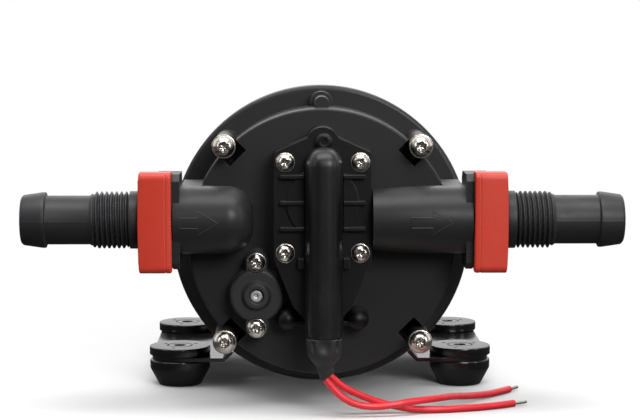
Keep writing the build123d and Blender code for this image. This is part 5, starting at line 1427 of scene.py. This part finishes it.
@dataclass
class FlowArrows:
    """Thin raised outlines of an arrow on the front of each port tube, both pointing to the outlet."""

    tube_radius: float = 12.5
    point_length: float = 7.2
    point_half: float = 4.3
    shaft_half: float = 1.9
    width: float = 0.42
    height: float = 0.16
    sink: float = 0.05
    drop: float = 0.1
    tips: tuple[float, ...] = (-38.3, 47.2)
    shafts: tuple[float, ...] = (6.6, 7.8)

    def ridge(self, tip: float, shaft: float) -> np.ndarray:
        """Closed outline of an arrow as a ridge of three points across, laid on the tube.

        y = port - sqrt((radius + lift)^2 - rise^2), where lift is the ridge's height at its middle.

        Args:
            tip: Place of the arrow's point along X.
            shaft: Length of its shaft.

        Returns:
            Points, outline by three by 3.
        """
        back, tail = -self.point_length, -self.point_length - shaft
        half = [(tail, self.shaft_half), (back, self.shaft_half), (back, self.point_half)]
        mirrored = [(x, -rise) for x, rise in half[::-1]]
        corners = np.array([*half, (0, 0), *mirrored, half[0]], float) + (tip, -self.drop)
        line = spread(corners, 150, corners=True)
        ways = unit(np.gradient(line, axis=0))
        normal = np.column_stack([-ways[:, 1], ways[:, 0]])
        offsets = np.array([-0.5, 0.0, 0.5]) * self.width
        lift = np.array([-self.sink, self.height, -self.sink])
        flat = line[:, None] + offsets[None, :, None] * normal[:, None]
        y = PORT_Y - np.sqrt((self.tube_radius + lift[None]) ** 2 - flat[..., 1] ** 2)
        return np.stack([flat[..., 0], y, PORT_HEIGHT + flat[..., 1]], axis=-1)

    def build(self) -> None:
        """Make both arrows as one piece."""
        draft = Draft()
        for tip, shaft in zip(self.tips, self.shafts):
            draft.grid(self.ridge(tip, shaft), close_columns=False)
        dress(draft.build("flow_arrows"), "pump", FINISHES[Slot.HEAD])


CAD_SLOTS: dict[Slot, tuple[str, ...]] = {
    Slot.HEAD: ("head_cover",),
    Slot.SWITCH: ("switch_cover", "bypass_cover"),
    Slot.HOUSING: ("drive_housing", "rear_cap"),
    Slot.CAN: ("motor_can",),
    Slot.PLATE: ("base_plate",),
    Slot.SEAL: (
        "cover_seal", "inlet_valves", "outlet_valve", "diaphragm", "switch_membrane", "motor_grommet",
        "inlet_o_rings", "outlet_o_rings", "bypass_poppet",
    ),
    Slot.LEAD: ("lead_tails",),
    Slot.SCREW: ("piston_screws", "hub_set_screw", "motor_bolts", "base_screws"),
    Slot.SPRING: ("brush_springs", "bypass_adjuster"),
    Slot.BEARING: (
        "motor_bearing_inner_rings", "motor_bearing_outer_rings", "motor_bearing_balls",
        "wobble_bearing_inner_ring", "wobble_bearing_outer_ring", "wobble_bearing_balls",
    ),
    Slot.SHAFT: ("motor_shaft",),
    Slot.LAMINATION: ("armature_core",),
    Slot.MAGNET: ("motor_magnets",),
    Slot.WINDING: ("armature_windings",),
    Slot.CONTACT: ("commutator", "switch_terminals", "lead_receptacles"),
    Slot.HUB: ("eccentric_hub",),
    Slot.INNER: ("valve_plate", "wobble_plate", "pistons", "brush_card", "switch_plunger"),
    Slot.CARBON: ("brushes",),
    Slot.MICROSWITCH: ("microswitch_body", "microswitch_button"),
}
OWN_FINISHES = {"bypass_cover": COVER_FINISH, "bypass_adjuster": ADJUSTER_FINISH}


def dress_nodes(nodes: dict[str, Piece]) -> None:
    """Give every carried-over CAD node its finish.

    Args:
        nodes: CAD nodes by name.
    """
    for slot, names in CAD_SLOTS.items():
        for name in names:
            node = nodes[name]
            node.data.materials.clear()
            node.data.materials.append(OWN_FINISHES.get(name, FINISHES[slot]).build())
    LOG.info("%d nodes dressed", sum(len(names) for names in CAD_SLOTS.values()))


def all_screws() -> list[Screws]:
    """Give the screws of the head, of the switch cover and of the bypass cover."""
    reach = 51.5 * math.sqrt(0.5)
    star = Screws(
        name="head_star_screws",
        node="head_screws",
        seats=tuple((x * reach, AXIS_HEIGHT + z * reach) for x, z in ((1, 1), (-1, 1), (-1, -1), (1, -1))),
        seat_y=-88.0,
        head_radius=4.45,
        head_height=3.0,
        shaft_radius=1.95,
        length=61.3,
        recess_radius=1.76,
        recess_depth=1.5,
        lobes=6,
        lobe_share=0.26,
    )
    cross = Screws(
        name="switch_cross_screws",
        node="switch_screws",
        seats=tuple((x * 13.75, AXIS_HEIGHT + z) for x in (-1, 1) for z in (31.05, -2.4)),
        seat_y=-95.0,
        head_radius=3.6,
        head_height=2.3,
        shaft_radius=1.55,
        length=22.7,
        recess_radius=1.45,
        recess_depth=1.3,
        lobes=4,
        lobe_share=0.4,
    )
    bypass = replace(
        cross,
        name="bypass_cross_screws",
        node="bypass_screws",
        seats=tuple((-24.5, AXIS_HEIGHT - 18.9 + z * 12.25) for z in (-1, 1)),
        seat_y=-88.2,
        length=15.9,
    )
    return [star, cross, bypass]


def all_springs() -> list[Spring]:
    """Give the springs of the pressure switch and of the bypass valve."""
    switch = Spring(
        node="switch_spring",
        joint="switch_plunger_push",
        centre=(0.4, 78.5),
        front=-87.55,
        back=-82.95,
        radius=5.0,
        wire=0.9,
        turns=2,
        keep=0.81,
    )
    bypass = Spring(
        node="bypass_spring",
        joint="bypass_poppet_lift",
        centre=(-24.5, 43.4),
        front=-87.65,
        back=-83.25,
        radius=3.1,
        wire=0.6,
        turns=3,
        keep=0.64,
    )
    return [switch, bypass]


def main() -> None:
    """Load the frame and build the studio and every piece in order."""
    logging.basicConfig(level=logging.INFO, format="%(name)s: %(message)s")
    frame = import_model()
    parts = (Studio(), Leads(), HoseFittings(), SlideClips(), SwitchBoot(), RubberFeet())
    for part in (*parts, *all_screws(), FlowArrows(), *all_springs()):
        part.build()
    dress_nodes(frame["nodes"])


if __name__ == "__main__":
    main()
